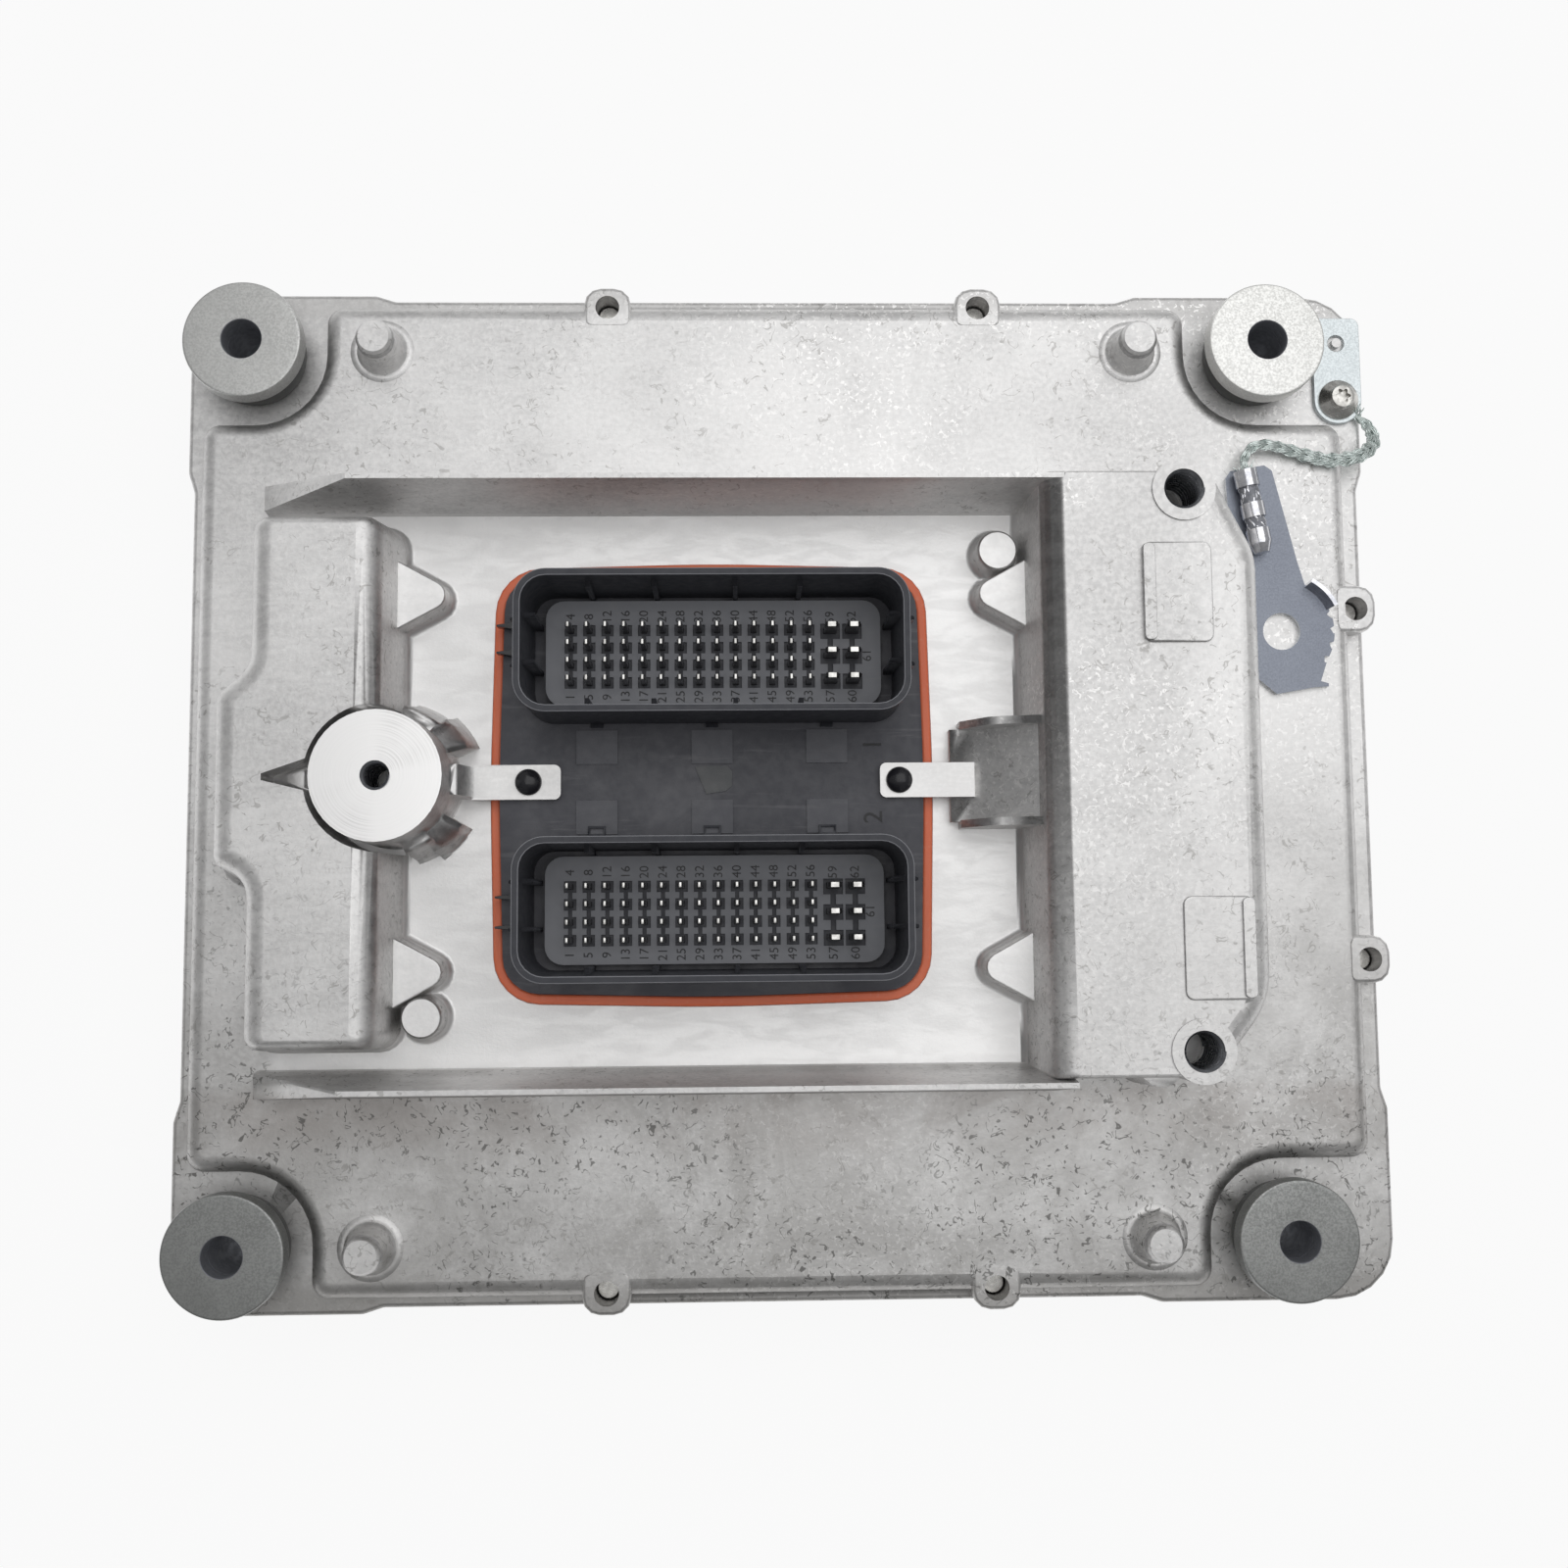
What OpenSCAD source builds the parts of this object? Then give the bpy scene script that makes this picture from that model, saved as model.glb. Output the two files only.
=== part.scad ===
// Engine control unit: a die-cast housing that lies on its mounting side, with its two sockets facing up.
// Origin: centre of the four mounting bolts, on the mounting plane. All sizes are in millimetres.

/* [Mounting bushes] */
// Distance between the mounting bolts across the width
bolt_dx = 228; // [215:1:245]
// Distance between the mounting bolts across the height
bolt_dy = 198; // [190:1:212]
// Bore for the mounting bolt
bush_bore = 8.8; // [6.4:0.1:9.4]
// Diameter of the steel discs on the bushes
washer_d = 26; // [24:0.5:28]
// Thickness of the upper steel disc
washer_t = 5; // [3:0.5:8]
// Thickness of the disc on the mounting side
lower_washer_t = 3; // [2:0.5:5]
// Diameter of the rubber collars
rubber_d = 23; // [21:0.5:24]
// Height of the rubber collar above the corner pad
rubber_up = 8; // [5:0.5:11]
// Height of the rubber collar below the corner pad
rubber_low = 5; // [4.5:0.5:8]
// Wall of the steel spacer tube
sleeve_wall = 1.8; // [1.2:0.1:2.2]
// Wall of the rubber neck inside the corner pad
rubber_neck = 2.4; // [1.6:0.1:3]
// Radial clearance between bush pieces
bush_gap = 0.1; // [0.05:0.05:0.2]

/* [Housing body] */
// Housing edge past the left bolts
edge_left = 14; // [13.5:0.5:17]
// Housing edge past the right bolts
edge_right = 24; // [22:0.5:28]
// Housing edge past the upper and lower bolts
edge_y = 13.8; // [13.5:0.1:16]
// How far the corner pads stand out of the sides
pad_out = 1.4; // [0.8:0.1:2]
// Length of a corner pad measured inwards from its bolt
pad_reach = 26.5; // [22:0.5:30]
// Corner radius of the pads on the right side
pad_corner_r = 13; // [9:0.5:15]
// Depth of the side wall from rim to flange
flange_h = 17; // [15:0.5:21]
// Rise of the plateau above the flange
plateau_h = 5; // [4.5:0.5:7]
// Step from the flange edge in to the plateau
plateau_in = 2.6; // [2:0.1:4]
// The same step along the right side
plateau_in_right = 4.4; // [3:0.1:6]
// Rounding of the plateau's edge
plateau_r = 4; // [2.5:0.5:4.5]
// Radius of the pocket in the plateau round each bush
pocket_r = 16; // [15:0.5:18]
// Wall thickness of the casting
wall_t = 4; // [3:0.5:5]
// Thickness of the roof
roof_t = 3.5; // [3:0.5:4.5]

/* [Cover] */
// Thickness of the rear cover
cover_t = 2.4; // [2:0.2:3]
// Thickness of the cover seal
seal_t = 1; // [0.6:0.1:1.4]
// Width of the cover seal
seal_w = 2.4; // [1.6:0.2:2.8]
// Half width of a screw ear
ear_r = 5.3; // [4.6:0.1:6]
// Diameter of the hole in a screw ear
ear_hole_d = 5.4; // [4:0.1:5.6]
// Clearance round the screw in its ear
screw_gap = 0.25; // [0.1:0.05:0.3]
// Position of the left pair of ears along the width
ear_x1 = -34.2; // [-45:0.1:-25]
// Position of the right pair of ears along the width
ear_x2 = 50.1; // [40:0.1:60]
// Half distance between the two ears on the right side
ear_y = 39.4; // [30:0.1:50]

/* [Raised walls and blocks] */
// Half height of the recess between the two walls
recess_half = 61; // [58:0.5:64]
// Height of the long walls
wall_h = 22; // [16:0.5:26]
// Thickness of a long wall at its top
wall_top_t = 1.1; // [0.8:0.1:2]
// Slope of a long wall on each side, over its height
wall_draft = 2.6; // [1.6:0.1:3.4]
// Length of the ramp at the left end of a long wall
ramp_len = 22; // [14:1:30]
// Height of the right block
right_h = 22; // [16:0.5:26]
// Width of the right block at its foot
right_w = 50.5; // [46:0.5:54]
// Gap from the right block to the plateau's right side
right_margin = 25.5; // [25:0.5:28]
// Height of the left block
left_h = 20; // [14:0.5:22]
// Width of the left block at its foot
left_w = 31.5; // [28:0.5:33]
// Gap from the left block to the plateau's left side
left_margin = 15.5; // [14:0.5:20]
// Rounding along the tops of the blocks
block_r = 5; // [3:0.5:6]
// Height of the machined boss
boss_h = 23; // [18:0.5:26]
// Diameter of the machined boss
boss_d = 27.5; // [24:0.5:30]
// Thread core of the machined boss
boss_hole_d = 6.2; // [4.2:0.1:8.5]
// Outer diameter of the threaded bosses on the right block
stud_boss_d = 13.6; // [12:0.2:15]
// Thread core of those bosses
stud_hole_d = 8.6; // [6.8:0.1:8.8]
// Height of the cast locating pins above the plateau
pin_h = 9.5; // [6:0.5:12]
// Diameter of a locating pin at its top
pin_d = 8; // [6:0.5:9]
// Distance from a bolt in to its locating pin
pin_in = 29.2; // [27:0.2:34]

/* [Connector header] */
// Width of the header's plate
plate_w = 90.8; // [90:0.2:92]
// Height of the header's plate
plate_l = 91.4; // [90:0.2:93]
// How far the plate's sides bulge out
plate_bulge = 1.2; // [0.6:0.1:1.6]
// Corner radius of the header's plate
plate_r = 8; // [6:0.5:10]
// Rise of the header's plate above the plateau
plate_rise = 3; // [2:0.5:4]
// Width of the visible seal round the header
header_seal_w = 2.4; // [1.6:0.1:2.6]
// Overlap of the header's flange under the roof
header_lap = 3; // [2:0.5:3.5]
// Distance between the two sockets
socket_pitch = 56; // [54:0.5:58]
// Outer width of a socket
socket_w = 83; // [82:0.5:85]
// Outer height of a socket
socket_l = 30.2; // [29.6:0.2:32]
// Wall of a socket at its rim
socket_wall = 1.5; // [1.2:0.1:2]
// Slope of a socket's wall inside, over its height
socket_draft = 0.7; // [0.4:0.1:0.9]
// Outer corner radius of a socket
socket_r = 6.8; // [5:0.2:8]
// Height of the sockets above the plateau
socket_h = 24; // [20:0.5:28]
// Height of the contact carrier above the plateau
carrier_h = 5.5; // [4.5:0.5:8]
// Width of the groove round the contact carrier
carrier_gap = 1.9; // [1.4:0.1:2]
// Diameter of the staked posts
stake_d = 3.4; // [2.6:0.1:3.8]
// Diameter of the staked heads
stake_head_d = 5.8; // [5:0.1:6.6]

/* [Contacts] */
// Contact pitch along a row
contact_dx = 4; // [3.6:0.05:4.1]
// Distance between contact rows
contact_dy = 3.85; // [3.5:0.05:4]
// Contact tips above the plateau
contact_h = 14; // [11:0.5:17]
// Side of a signal pin
signal_side = 1.2; // [0.8:0.1:1.4]
// Width of a power blade
blade_w = 2.8; // [2.2:0.1:3]
// Thickness of a power blade
blade_t = 1.2; // [0.8:0.1:1.4]
// Clearance of the contacts in their slots
contact_gap = 0.05; // [0.02:0.01:0.1]

/* [Earth lead] */
// Width of the earth tab
tab_w = 11; // [9:0.5:12]
// Length of the earth tab
tab_l = 25; // [22:0.5:27]
// Thickness of the earth tab
tab_t = 1.2; // [0.8:0.1:2]
// Diameter of the braid
braid_d = 2.4; // [2:0.1:2.8]
// Thickness of the ring terminal
terminal_t = 1.4; // [1:0.1:2]
// Distance from the upper bolts down to the ring terminal
terminal_drop = 65; // [62:0.5:68]
// Radius of the ring terminal's head
terminal_r = 12; // [10.5:0.5:12.5]
// Hole in the ring terminal
terminal_hole_d = 8.4; // [6.4:0.1:10.4]

/* [Circuit board] */
// Thickness of the board
board_t = 1.6; // [1.2:0.1:2]
// Distance from the roof down to the board
board_gap = 8.5; // [8:0.25:9.5]
// Gap from the board's edge to the housing wall
board_clear = 4.5; // [3.5:0.5:6]

/* [Hidden] */
$fn = 48;

// Levels above the mounting plane
rim_z = lower_washer_t + rubber_low;
flange_z = rim_z + flange_h;
plateau_z = flange_z + plateau_h;
roof_z = plateau_z - roof_t;
right_z = plateau_z + right_h;
boss_z = plateau_z + boss_h;
disc_z = flange_z + rubber_up;
board_z = roof_z - board_gap;
cover_z = rim_z - seal_t - cover_t;
// How far overlapping castings run into each other
sink = 1;
// Smallest radius of a rounded corner
min_r = 1;

// Plan of the housing
ax = bolt_dx / 2;
ay = bolt_dy / 2;
body_x0 = -ax - edge_left;
body_x1 = ax + edge_right;
body_y = ay + edge_y;
plat_x0 = body_x0 + plateau_in;
plat_x1 = body_x1 - plateau_in_right;
plat_y = body_y - plateau_in;
bolts = [[-ax, -ay], [ax, -ay], [ax, ay], [-ax, ay]];
// Slope in plan where a corner pad meets the side
pad_slope = 4.5;
pad_step_r = 3;
edge_round = 1.2;

// Cover screws stand in ears as high as the plateau, each at [x, y, angle of its outer end]
ear_in = 3.5;
ears = [
    [ear_x1, -body_y + ear_in, 180], [ear_x2, -body_y + ear_in, 180],
    [body_x1 - ear_in, -ear_y, -90], [body_x1 - ear_in, ear_y, -90],
    [ear_x2, body_y - ear_in, 0], [ear_x1, body_y - ear_in, 0]
];
ear_z = plateau_z + 0.15;
ear_back = 4;
ear_out = 4.65;
ear_corner = 3.8;
ear_round = 0.9;
screw_r = ear_hole_d / 2 - screw_gap;
screw_tip_drop = 6;
screw_head_r = 4.2;
screw_head_h = 2.2;

// Raised blocks, measured at the plateau
right_x1 = plat_x1 - right_margin;
right_x0 = right_x1 - right_w;
right_y0 = -recess_half - 2.5;
right_y1 = recess_half + 5;
left_x0 = plat_x0 + left_margin;
left_x1 = left_x0 + left_w;
left_bulge = 7;
left_y0 = -recess_half + 4.2;
left_y1 = recess_half - 3.2;
block_draft = 2;
// Middle line of the straps, boss and header
mid_y = 0.8;
header_x = (left_x1 + right_x0) / 2;
boss_x = left_x1 - 1.7;
boss_groove = 1.9;
boss_taper = 0.6;
claw_h = 14;
foot_boss_h = 7;
// Half distances between the foot bosses, and how far the round ones stand out of the blocks
foot_dy = 41;
round_dy = 50.6;
round_in = 5.2;
// Fillet where a raised form meets the plateau, as [height, how far it spreads]
foot_fillet = [[-sink, -1.5], [0, -1.5], [0.25, -0.85], [0.8, -0.3], [1.6, 0]];
stud_x = right_x1 - 17.5;
stud_inset = 5;
stud_depth = 18;
stud_rise = 0.5;

// Header levels and plan
plate_z = plateau_z + plate_rise;
socket_z = plateau_z + socket_h;
carrier_z = plateau_z + carrier_h;
tip_z = plateau_z + contact_h;
opening_w = plate_w + 2 * header_seal_w;
opening_l = plate_l + 2 * header_seal_w;
opening_r = plate_r + header_seal_w;
opening_x = header_x - 0.5;
// The plate's sides bulge out on a wide arc
bulge_r = 500;
header_flange_t = 3;
seal_gap = 0.1;
seal_rise = 1;
socket_ys = [mid_y + socket_pitch / 2, mid_y - socket_pitch / 2];
end_gap = 3.3;
carrier_w = socket_w - 2 * socket_wall - 2 * end_gap;
carrier_l = socket_l - 2 * socket_wall - 2 * carrier_gap;
trench_z = carrier_z - 2.5;
// Straps hold the plate down at the staked posts
stake_half = 40.5;
strap_w = 7.6;
strap_t = 1.5;
strap_past_left = 7;
strap_past_right = 4.2;
stake_gap = 0.15;
strap_root_x = opening_x - opening_w / 2 - plate_bulge - 2.8;
gusset_x = opening_x + opening_w / 2 + plate_bulge + 3.4;

// Contact grid, offset from each socket's centre
columns = 14;
rows = 4;
contact_off_x = -5.2;
contact_off_y = -0.6;
blade_first = 4.8;
blade_dx = 4.8;
blade_dy = 5.55;
tail_below = 1.2;

// Earth lead
tab_x = body_x1 + pad_out - tab_w / 2;
tab_y = ay - 3;
tab_screw_y = tab_y - tab_l / 2 + tab_w / 2;
tab_hole_y = tab_y + 6.5;
tab_hole_r = 1.9;
pip_r = 1.1;
earth_screw_r = 2;
earth_screw_l = 9;
terminal_x = right_x1 + 8.9;
terminal_y = ay - terminal_drop;
terminal_turn = 10;
terminal_stem = 38;
barrel_r = 2.6;
barrel_l = 19;
barrel_x = -1.5;
barrel_z = plateau_z + terminal_t + barrel_r - 0.2;
mouth_l = terminal_stem - 1.1;
// Where the braid leaves the tab, and where it enters the crimp
tab_end = [tab_x + 4.5, tab_screw_y - 3.3, flange_z + 1.4];
mouth = [
    terminal_x + barrel_x * cos(terminal_turn) - mouth_l * sin(terminal_turn),
    terminal_y + barrel_x * sin(terminal_turn) + mouth_l * cos(terminal_turn),
    barrel_z
];
// Route of the braid, first from the tab and then up to the crimp
braid_start = [
    [0, 0, 0], [2.2, -2.3, 0.4], [3.1, -4.7, 1], [2.8, -7.3, 2.4],
    [0.8, -9.9, 4.2], [-2.2, -11.7, 5.2], [-5.8, -12.5, 5.3]
];
braid_finish = [
    [19.3, 3.2, -2.2], [15.1, 4.2, -2.2], [10.9, 5.4, -1.9], [7.6, 6.1, -1.2], [4.7, 6.3, -0.7],
    [3, 6, -0.5], [1.5, 5.1, -0.3], [0.5, 3.9, -0.1], [-0.1, 2.3, 0],
    [-0.6 * sin(terminal_turn), 0.6 * cos(terminal_turn), 0], [0, 0, 0]
];
braid_route = concat([for (p = braid_start) tab_end + p], [for (p = braid_finish) mouth + p]);

// Board fixing and parts
post_r = 4;
post_hole_r = 1.25;
// How far the board's posts stand from the sides
post_left = [30, 43];
post_mid = 17;
post_right = [20, 51];
posts = [
    for (s = [-1, 1]) each [
        [body_x0 + post_left.x, s * (body_y - post_left.y)], [header_x, s * (body_y - post_mid)],
        [body_x1 - post_right.x, s * (body_y - post_right.y)]
    ]
];
// Row of chips along the upper side of the board
chip_row_y = body_y - 40;
cpu_side = 28;
driver_pitch = 24;
lug_r = pocket_r + 3;
cap_r = 7.5;
cap_h = 22;

// Direction of the edge from p to q
function edge_dir(p, q) = let (v = [q.x - p.x, q.y - p.y]) v / norm(v);

// Corner i of an outline after its edges have moved inwards by d times their weights
function moved_corner(o, i, d) =
    let (n = len(o), p = o[(i + n - 1) % n], c = o[i], q = o[(i + 1) % n])
    let (u = edge_dir(p, c), v = edge_dir(c, q), k = cross(u, v))
    [c.x, c.y] + (d * p[3] * v - d * c[3] * u) / k;

// Arc that rounds the corner c between the directions u and v
function corner_arc(c, u, v, r, n) =
    let (turn = atan2(cross(u, v), u * v), s = c - r * tan(abs(turn) / 2) * u)
    let (m = s + sign(turn) * r * [-u.y, u.x], w = s - m)
    [for (j = [0:n]) let (a = turn * j / n) m + [w.x * cos(a) - w.y * sin(a), w.x * sin(a) + w.y * cos(a)]];

// Rounded outline moved inwards by d. Each corner is [x, y, radius, weight of the edge that starts there],
// counter-clockwise.
function ring(o, d = 0, n = 3) = [
    for (i = [0:len(o) - 1])
        let (m = len(o), p = o[(i + m - 1) % m], c = o[i], q = o[(i + 1) % m])
        let (u = edge_dir(p, c), v = edge_dir(c, q), bulge = sign(cross(u, v)))
        let (r = max(min_r, c[2] - bulge * d * (p[3] + c[3]) / 2))
        each corner_arc(moved_corner(o, i, d), u, v, r, n)
];

// Levels [z, inset] of a rounded top edge
function round_top(z, inset, r, n = 4) =
    [for (j = [0:n]) [z - r + r * sin(90 * j / n), inset + r * (1 - cos(90 * j / n))]];

// Levels of a raised form: foot fillet, sloping sides and a rounded top edge
function raised(h, draft, r, n = 5) =
    concat([for (f = foot_fillet) [plateau_z + f[0], f[1]]], round_top(plateau_z + h, draft, r, n));

// Solid through the outline at each level [z, inset]. Every point of the outline is in sight of mid.
module loft(o, levels, mid, n = 3) {
    count = len(o) * (n + 1);
    last = len(levels) - 1;
    walls = [for (l = levels) each [for (p = ring(o, l[1], n)) [p.x, p.y, l[0]]]];
    ends = [[mid.x, mid.y, levels[0][0]], [mid.x, mid.y, levels[last][0]]];
    top = last * count;
    low_mid = len(walls);
    sides = [
        for (k = [0:last - 1], i = [0:count - 1])
            let (j = (i + 1) % count)
            [k * count + i, (k + 1) * count + i, (k + 1) * count + j, k * count + j]
    ];
    caps = [
        for (i = [0:count - 1])
            let (j = (i + 1) % count)
            each [[i, j, low_mid], [top + j, top + i, low_mid + 1]]
    ];
    polyhedron(concat(walls, ends), concat(sides, caps));
}

// Rectangle with rounded corners
module rounded_rect(w, l, r) {
    square([w - 2 * r, l], center = true);
    square([w, l - 2 * r], center = true);
    for (x = [-1, 1], y = [-1, 1]) translate([x * (w / 2 - r), y * (l / 2 - r)]) circle(r);
}

// Rectangle whose sides bulge out by b
module bulged_rect(w, l, r, b) {
    x = w / 2;
    y = l / 2;
    polygon(ring([
        [-x, -y, r, 1], [0, -y - b, bulge_r, 1], [x, -y, r, 1], [x + b, 0, bulge_r, 1],
        [x, y, r, 1], [0, y + b, bulge_r, 1], [-x, y, r, 1], [-x - b, 0, bulge_r, 1]
    ], 0, 6));
}

// Outline of a rounded rectangle about the origin
function rect_outline(w, l, r) =
    [[-w / 2, -l / 2, r, 1], [w / 2, -l / 2, r, 1], [w / 2, l / 2, r, 1], [-w / 2, l / 2, r, 1]];

// Copies of the children at each place in a list
module at_places(places, z = 0) {
    for (p = places) translate([p.x, p.y, z]) children();
}

// Child at each screw ear, turned with it
module at_ears() {
    for (e = ears) translate([e.x, e.y, 0]) rotate([0, 0, e.z]) children();
}

// Tube with flat ends
module tube(outer, inner, h) {
    difference() {
        cylinder(r = outer, h = h);
        translate([0, 0, -sink]) cylinder(r = inner, h = h + 2 * sink);
    }
}

// Prism that stands on the XZ profile and runs along Y
module prism_y(profile, y0, y1) {
    translate([0, y1, 0]) rotate([90, 0, 0]) linear_extrude(y1 - y0) polygon(profile);
}

// Outline of the side walls, with a pad at each corner
function body_outline() =
    let (po = pad_out, px = ax - pad_reach, py = ay - pad_reach, s = pad_slope, r = pad_step_r) [
    [body_x0 - po, -body_y - po, edge_left + po, 1],
    [-px, -body_y - po, r, 1], [-px + s, -body_y, r, 1], [px - s, -body_y, r, 1], [px, -body_y - po, r, 1],
    [body_x1 + po, -body_y - po, pad_corner_r, 1],
    [body_x1 + po, -py, r, 1], [body_x1, -py + s, r, 1], [body_x1, py - s, r, 1], [body_x1 + po, py, r, 1],
    [body_x1 + po, body_y + po, pad_corner_r, 1],
    [px, body_y + po, r, 1], [px - s, body_y, r, 1], [-px + s, body_y, r, 1], [-px, body_y + po, r, 1],
    [body_x0 - po, body_y + po, edge_left + po, 1],
    [body_x0 - po, py, r, 1], [body_x0, py - s, r, 1], [body_x0, -py + s, r, 1], [body_x0 - po, -py, r, 1]
];

// Rectangle with a concave corner of radius r round each bolt
function notched_outline(x0, x1, y, r, corner) = [
    [-ax + r, -y, corner, 1], [ax - r, -y, corner, 1], [ax - r, -ay + r, r, 1], [x1, -ay + r, corner, 1],
    [x1, ay - r, corner, 1], [ax - r, ay - r, r, 1], [ax - r, y, corner, 1], [-ax + r, y, corner, 1],
    [-ax + r, ay - r, r, 1], [x0, ay - r, corner, 1], [x0, -ay + r, corner, 1], [-ax + r, -ay + r, r, 1]
];

// Outline of a screw ear whose outer end faces along y
function ear_outline() = [
    [-ear_r, -ear_back, 1, 0], [ear_r, -ear_back, 1, 1], [ear_r, ear_out, ear_corner, 1],
    [-ear_r, ear_out, ear_corner, 1]
];

// Outline of the right block: square towards the sockets, cut back at the outer corners
function right_outline() = [
    [right_x0, right_y0, 1.5, 0.2], [right_x1 - 12, right_y0, 6, 1], [right_x1, right_y0 + 15.5, 20, 1],
    [right_x1, right_y1 - 18, 16, 1], [right_x1 - 9, right_y1, 6, 0.2], [right_x0, right_y1, 1.5, 1]
];

// Outline of the left block, which bulges outwards beside the boss
function left_outline() = [
    [left_x0, left_y0, 5, 0.5], [left_x1, left_y0, 5, 1],
    [left_x1, left_y1, 5, 0.5], [left_x0, left_y1, 5, 1],
    [left_x0, mid_y + 25, 4, 1], [left_x0 - left_bulge, mid_y + 18.5, 5, 1],
    [left_x0 - left_bulge, mid_y - 19, 5, 1], [left_x0, mid_y - 22.5, 4, 1]
];

// Three-cornered foot boss beside a block, pointing towards the sockets
module foot_boss(base_x, y, dir) {
    root_x = base_x - 3 * dir;
    half = 9.2 * dir;
    tri = [[root_x, y - half, 1, 1], [base_x + 13.8 * dir, y, 3.6, 1], [root_x, y + half, 1, 0]];
    loft(tri, raised(foot_boss_h, 0.4, 0.4, 2), [base_x, y], 6);
}

// Round foot boss beside a block
module round_boss(x, y) {
    top_r = 4.4;
    sides = [for (f = foot_fillet) [top_r + 0.4 - f[1], f[0]]];
    translate([x, y, plateau_z]) rotate_extrude() polygon(concat([[0, -sink]], sides,
        [[top_r, foot_boss_h - 0.4], [top_r - 0.4, foot_boss_h], [0, foot_boss_h]]));
}

// Long wall with sloping sides and a ramp at its left end, on the upper or lower side
module long_wall(side) {
    x0 = left_x0 + 0.5;
    x1 = right_x0 + block_draft + block_r;
    end_h = 3.5;
    low = -sink;
    profile = [[x0, low], [x1, low], [x1, wall_h], [x0 + ramp_len, wall_h], [x0, end_h]];
    slope = wall_draft / wall_h;
    foot = recess_half + wall_top_t + 2 * wall_draft;
    inner = [for (p = profile) [p.x, side * (recess_half + slope * p.y), plateau_z + p.y]];
    outer = [for (p = profile) [p.x, side * (foot - slope * p.y), plateau_z + p.y]];
    n = len(profile);
    face = [for (i = [0:n - 1]) i];
    back = [for (i = [0:n - 1]) 2 * n - 1 - i];
    around = [for (i = [0:n - 1]) let (j = (i + 1) % n) [i, n + i, n + j, j]];
    flip = [for (f = concat([face, back], around)) [for (i = [len(f) - 1:-1:0]) f[i]]];
    polyhedron(concat(inner, outer), side > 0 ? flip : concat([face, back], around));
}

// Lug beside the machined boss: a flat part, and a part that slopes away from it
module claw(flat, slope) {
    inner = boss_d / 2 - 0.4;
    low = claw_h - 2.5;
    rotate([0, 0, flat[0]]) rotate_extrude(angle = flat[1] - flat[0])
        polygon([[inner, -sink], [inner + 5.2, -sink], [inner + 4.2, 2], [inner + 3, claw_h - 1],
            [inner + 2.2, claw_h], [inner, claw_h]]);
    rotate([0, 0, slope[0]]) rotate_extrude(angle = slope[1] - slope[0])
        polygon([[inner, -sink], [inner + 6.6, -sink], [inner + 5.6, 2], [inner + 4.6, low - 4],
            [inner + 1, low], [inner, low]]);
}

// Flat strap over the header's plate, with its round-cornered free end at x1
module strap(x0, x1) {
    translate([0, 0, plate_z]) linear_extrude(strap_t) {
        r = 1.4;
        dir = sign(x1 - x0);
        span = abs(x1 - x0) - r;
        translate([min(x0, x0 + dir * span), mid_y - strap_w / 2]) square([span, strap_w]);
        translate([min(x1, x1 - dir * 2 * r), mid_y - strap_w / 2 + r]) square([2 * r, strap_w - 2 * r]);
        for (s = [-1, 1]) translate([x1 - dir * r, mid_y + s * (strap_w / 2 - r)]) circle(r);
    }
}

// Left strap with the rib and slope that carry it
module left_strap() {
    x0 = strap_root_x - 4.8;
    profile = [
        [x0, plateau_z - sink], [strap_root_x, plateau_z - sink], [strap_root_x, plate_z + strap_t],
        [x0 + 2.8, plateau_z + 12], [x0 + 2.2, plateau_z + 12.6], [x0, plateau_z + 12.6]
    ];
    prism_y(profile, mid_y - strap_w / 2 + 0.5, mid_y + strap_w / 2 - 0.5);
    strap(strap_root_x - 0.5, header_x - stake_half + strap_past_left);
}

// Right strap with the ramp and the two ribs that carry it
module right_strap() {
    x1 = right_x0 + block_draft + sink;
    half = 10.2;
    rib = 1.5;
    ramp = [
        [gusset_x, plateau_z - sink], [x1, plateau_z - sink], [x1, plateau_z + 15],
        [gusset_x + 5.2, plate_z], [gusset_x, plate_z]
    ];
    side_rib = [
        [gusset_x + 2, plateau_z - sink], [x1, plateau_z - sink], [x1, plateau_z + 16.5],
        [gusset_x + 9.5, plateau_z + 14.5], [gusset_x + 7, plateau_z + 13], [gusset_x + 2, plate_z + 2]
    ];
    prism_y(ramp, mid_y + 1 - half, mid_y + 1 + half);
    prism_y(side_rib, mid_y + 1 + half - 0.2, mid_y + 1 + half + rib);
    prism_y(side_rib, mid_y + 1 - half - rib, mid_y + 1 - half + 0.2);
    strap(gusset_x + 5.2, header_x + stake_half - strap_past_right);
}

// Raised pad on top of the right block, with a bar along one side
module marking_pad(x0, y0, bar_right) {
    w = 14.8;
    l = 21.5;
    bar = 2.6;
    rise = 0.7;
    bar_rise = 1.4;
    bar_x = bar_right ? w - bar / 2 : bar / 2;
    translate([x0, y0, right_z]) {
        translate([w / 2, l / 2, 0]) loft(rect_outline(w, l, 1.8),
            concat([[-4, 0]], round_top(rise, 0, 0.4, 2)), [0, 0], 4);
        translate([bar_x, l / 2, 0]) loft(rect_outline(bar, l - 0.8, 1),
            concat([[-4, 0]], round_top(bar_rise, 0, 0.2, 2)), [0, 0], 4);
    }
}

// Right block with its threaded bosses and raised pads
module right_block() {
    loft(right_outline(), raised(right_h, block_draft, block_r), [(right_x0 + right_x1) / 2, mid_y], 6);
    for (p = stud_places()) translate([p.x, p.y, plateau_z - sink])
        cylinder(d = stud_boss_d, h = right_h + stud_rise + sink);
    marking_pad(right_x1 - 27.5, 28, false);
    marking_pad(right_x1 - 21, -47, true);
    translate([right_x1 - 25.5, right_y0 + 3, plateau_z - sink])
        cylinder(r1 = 5.5, r2 = 4.6, h = right_h - 3);
}

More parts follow.
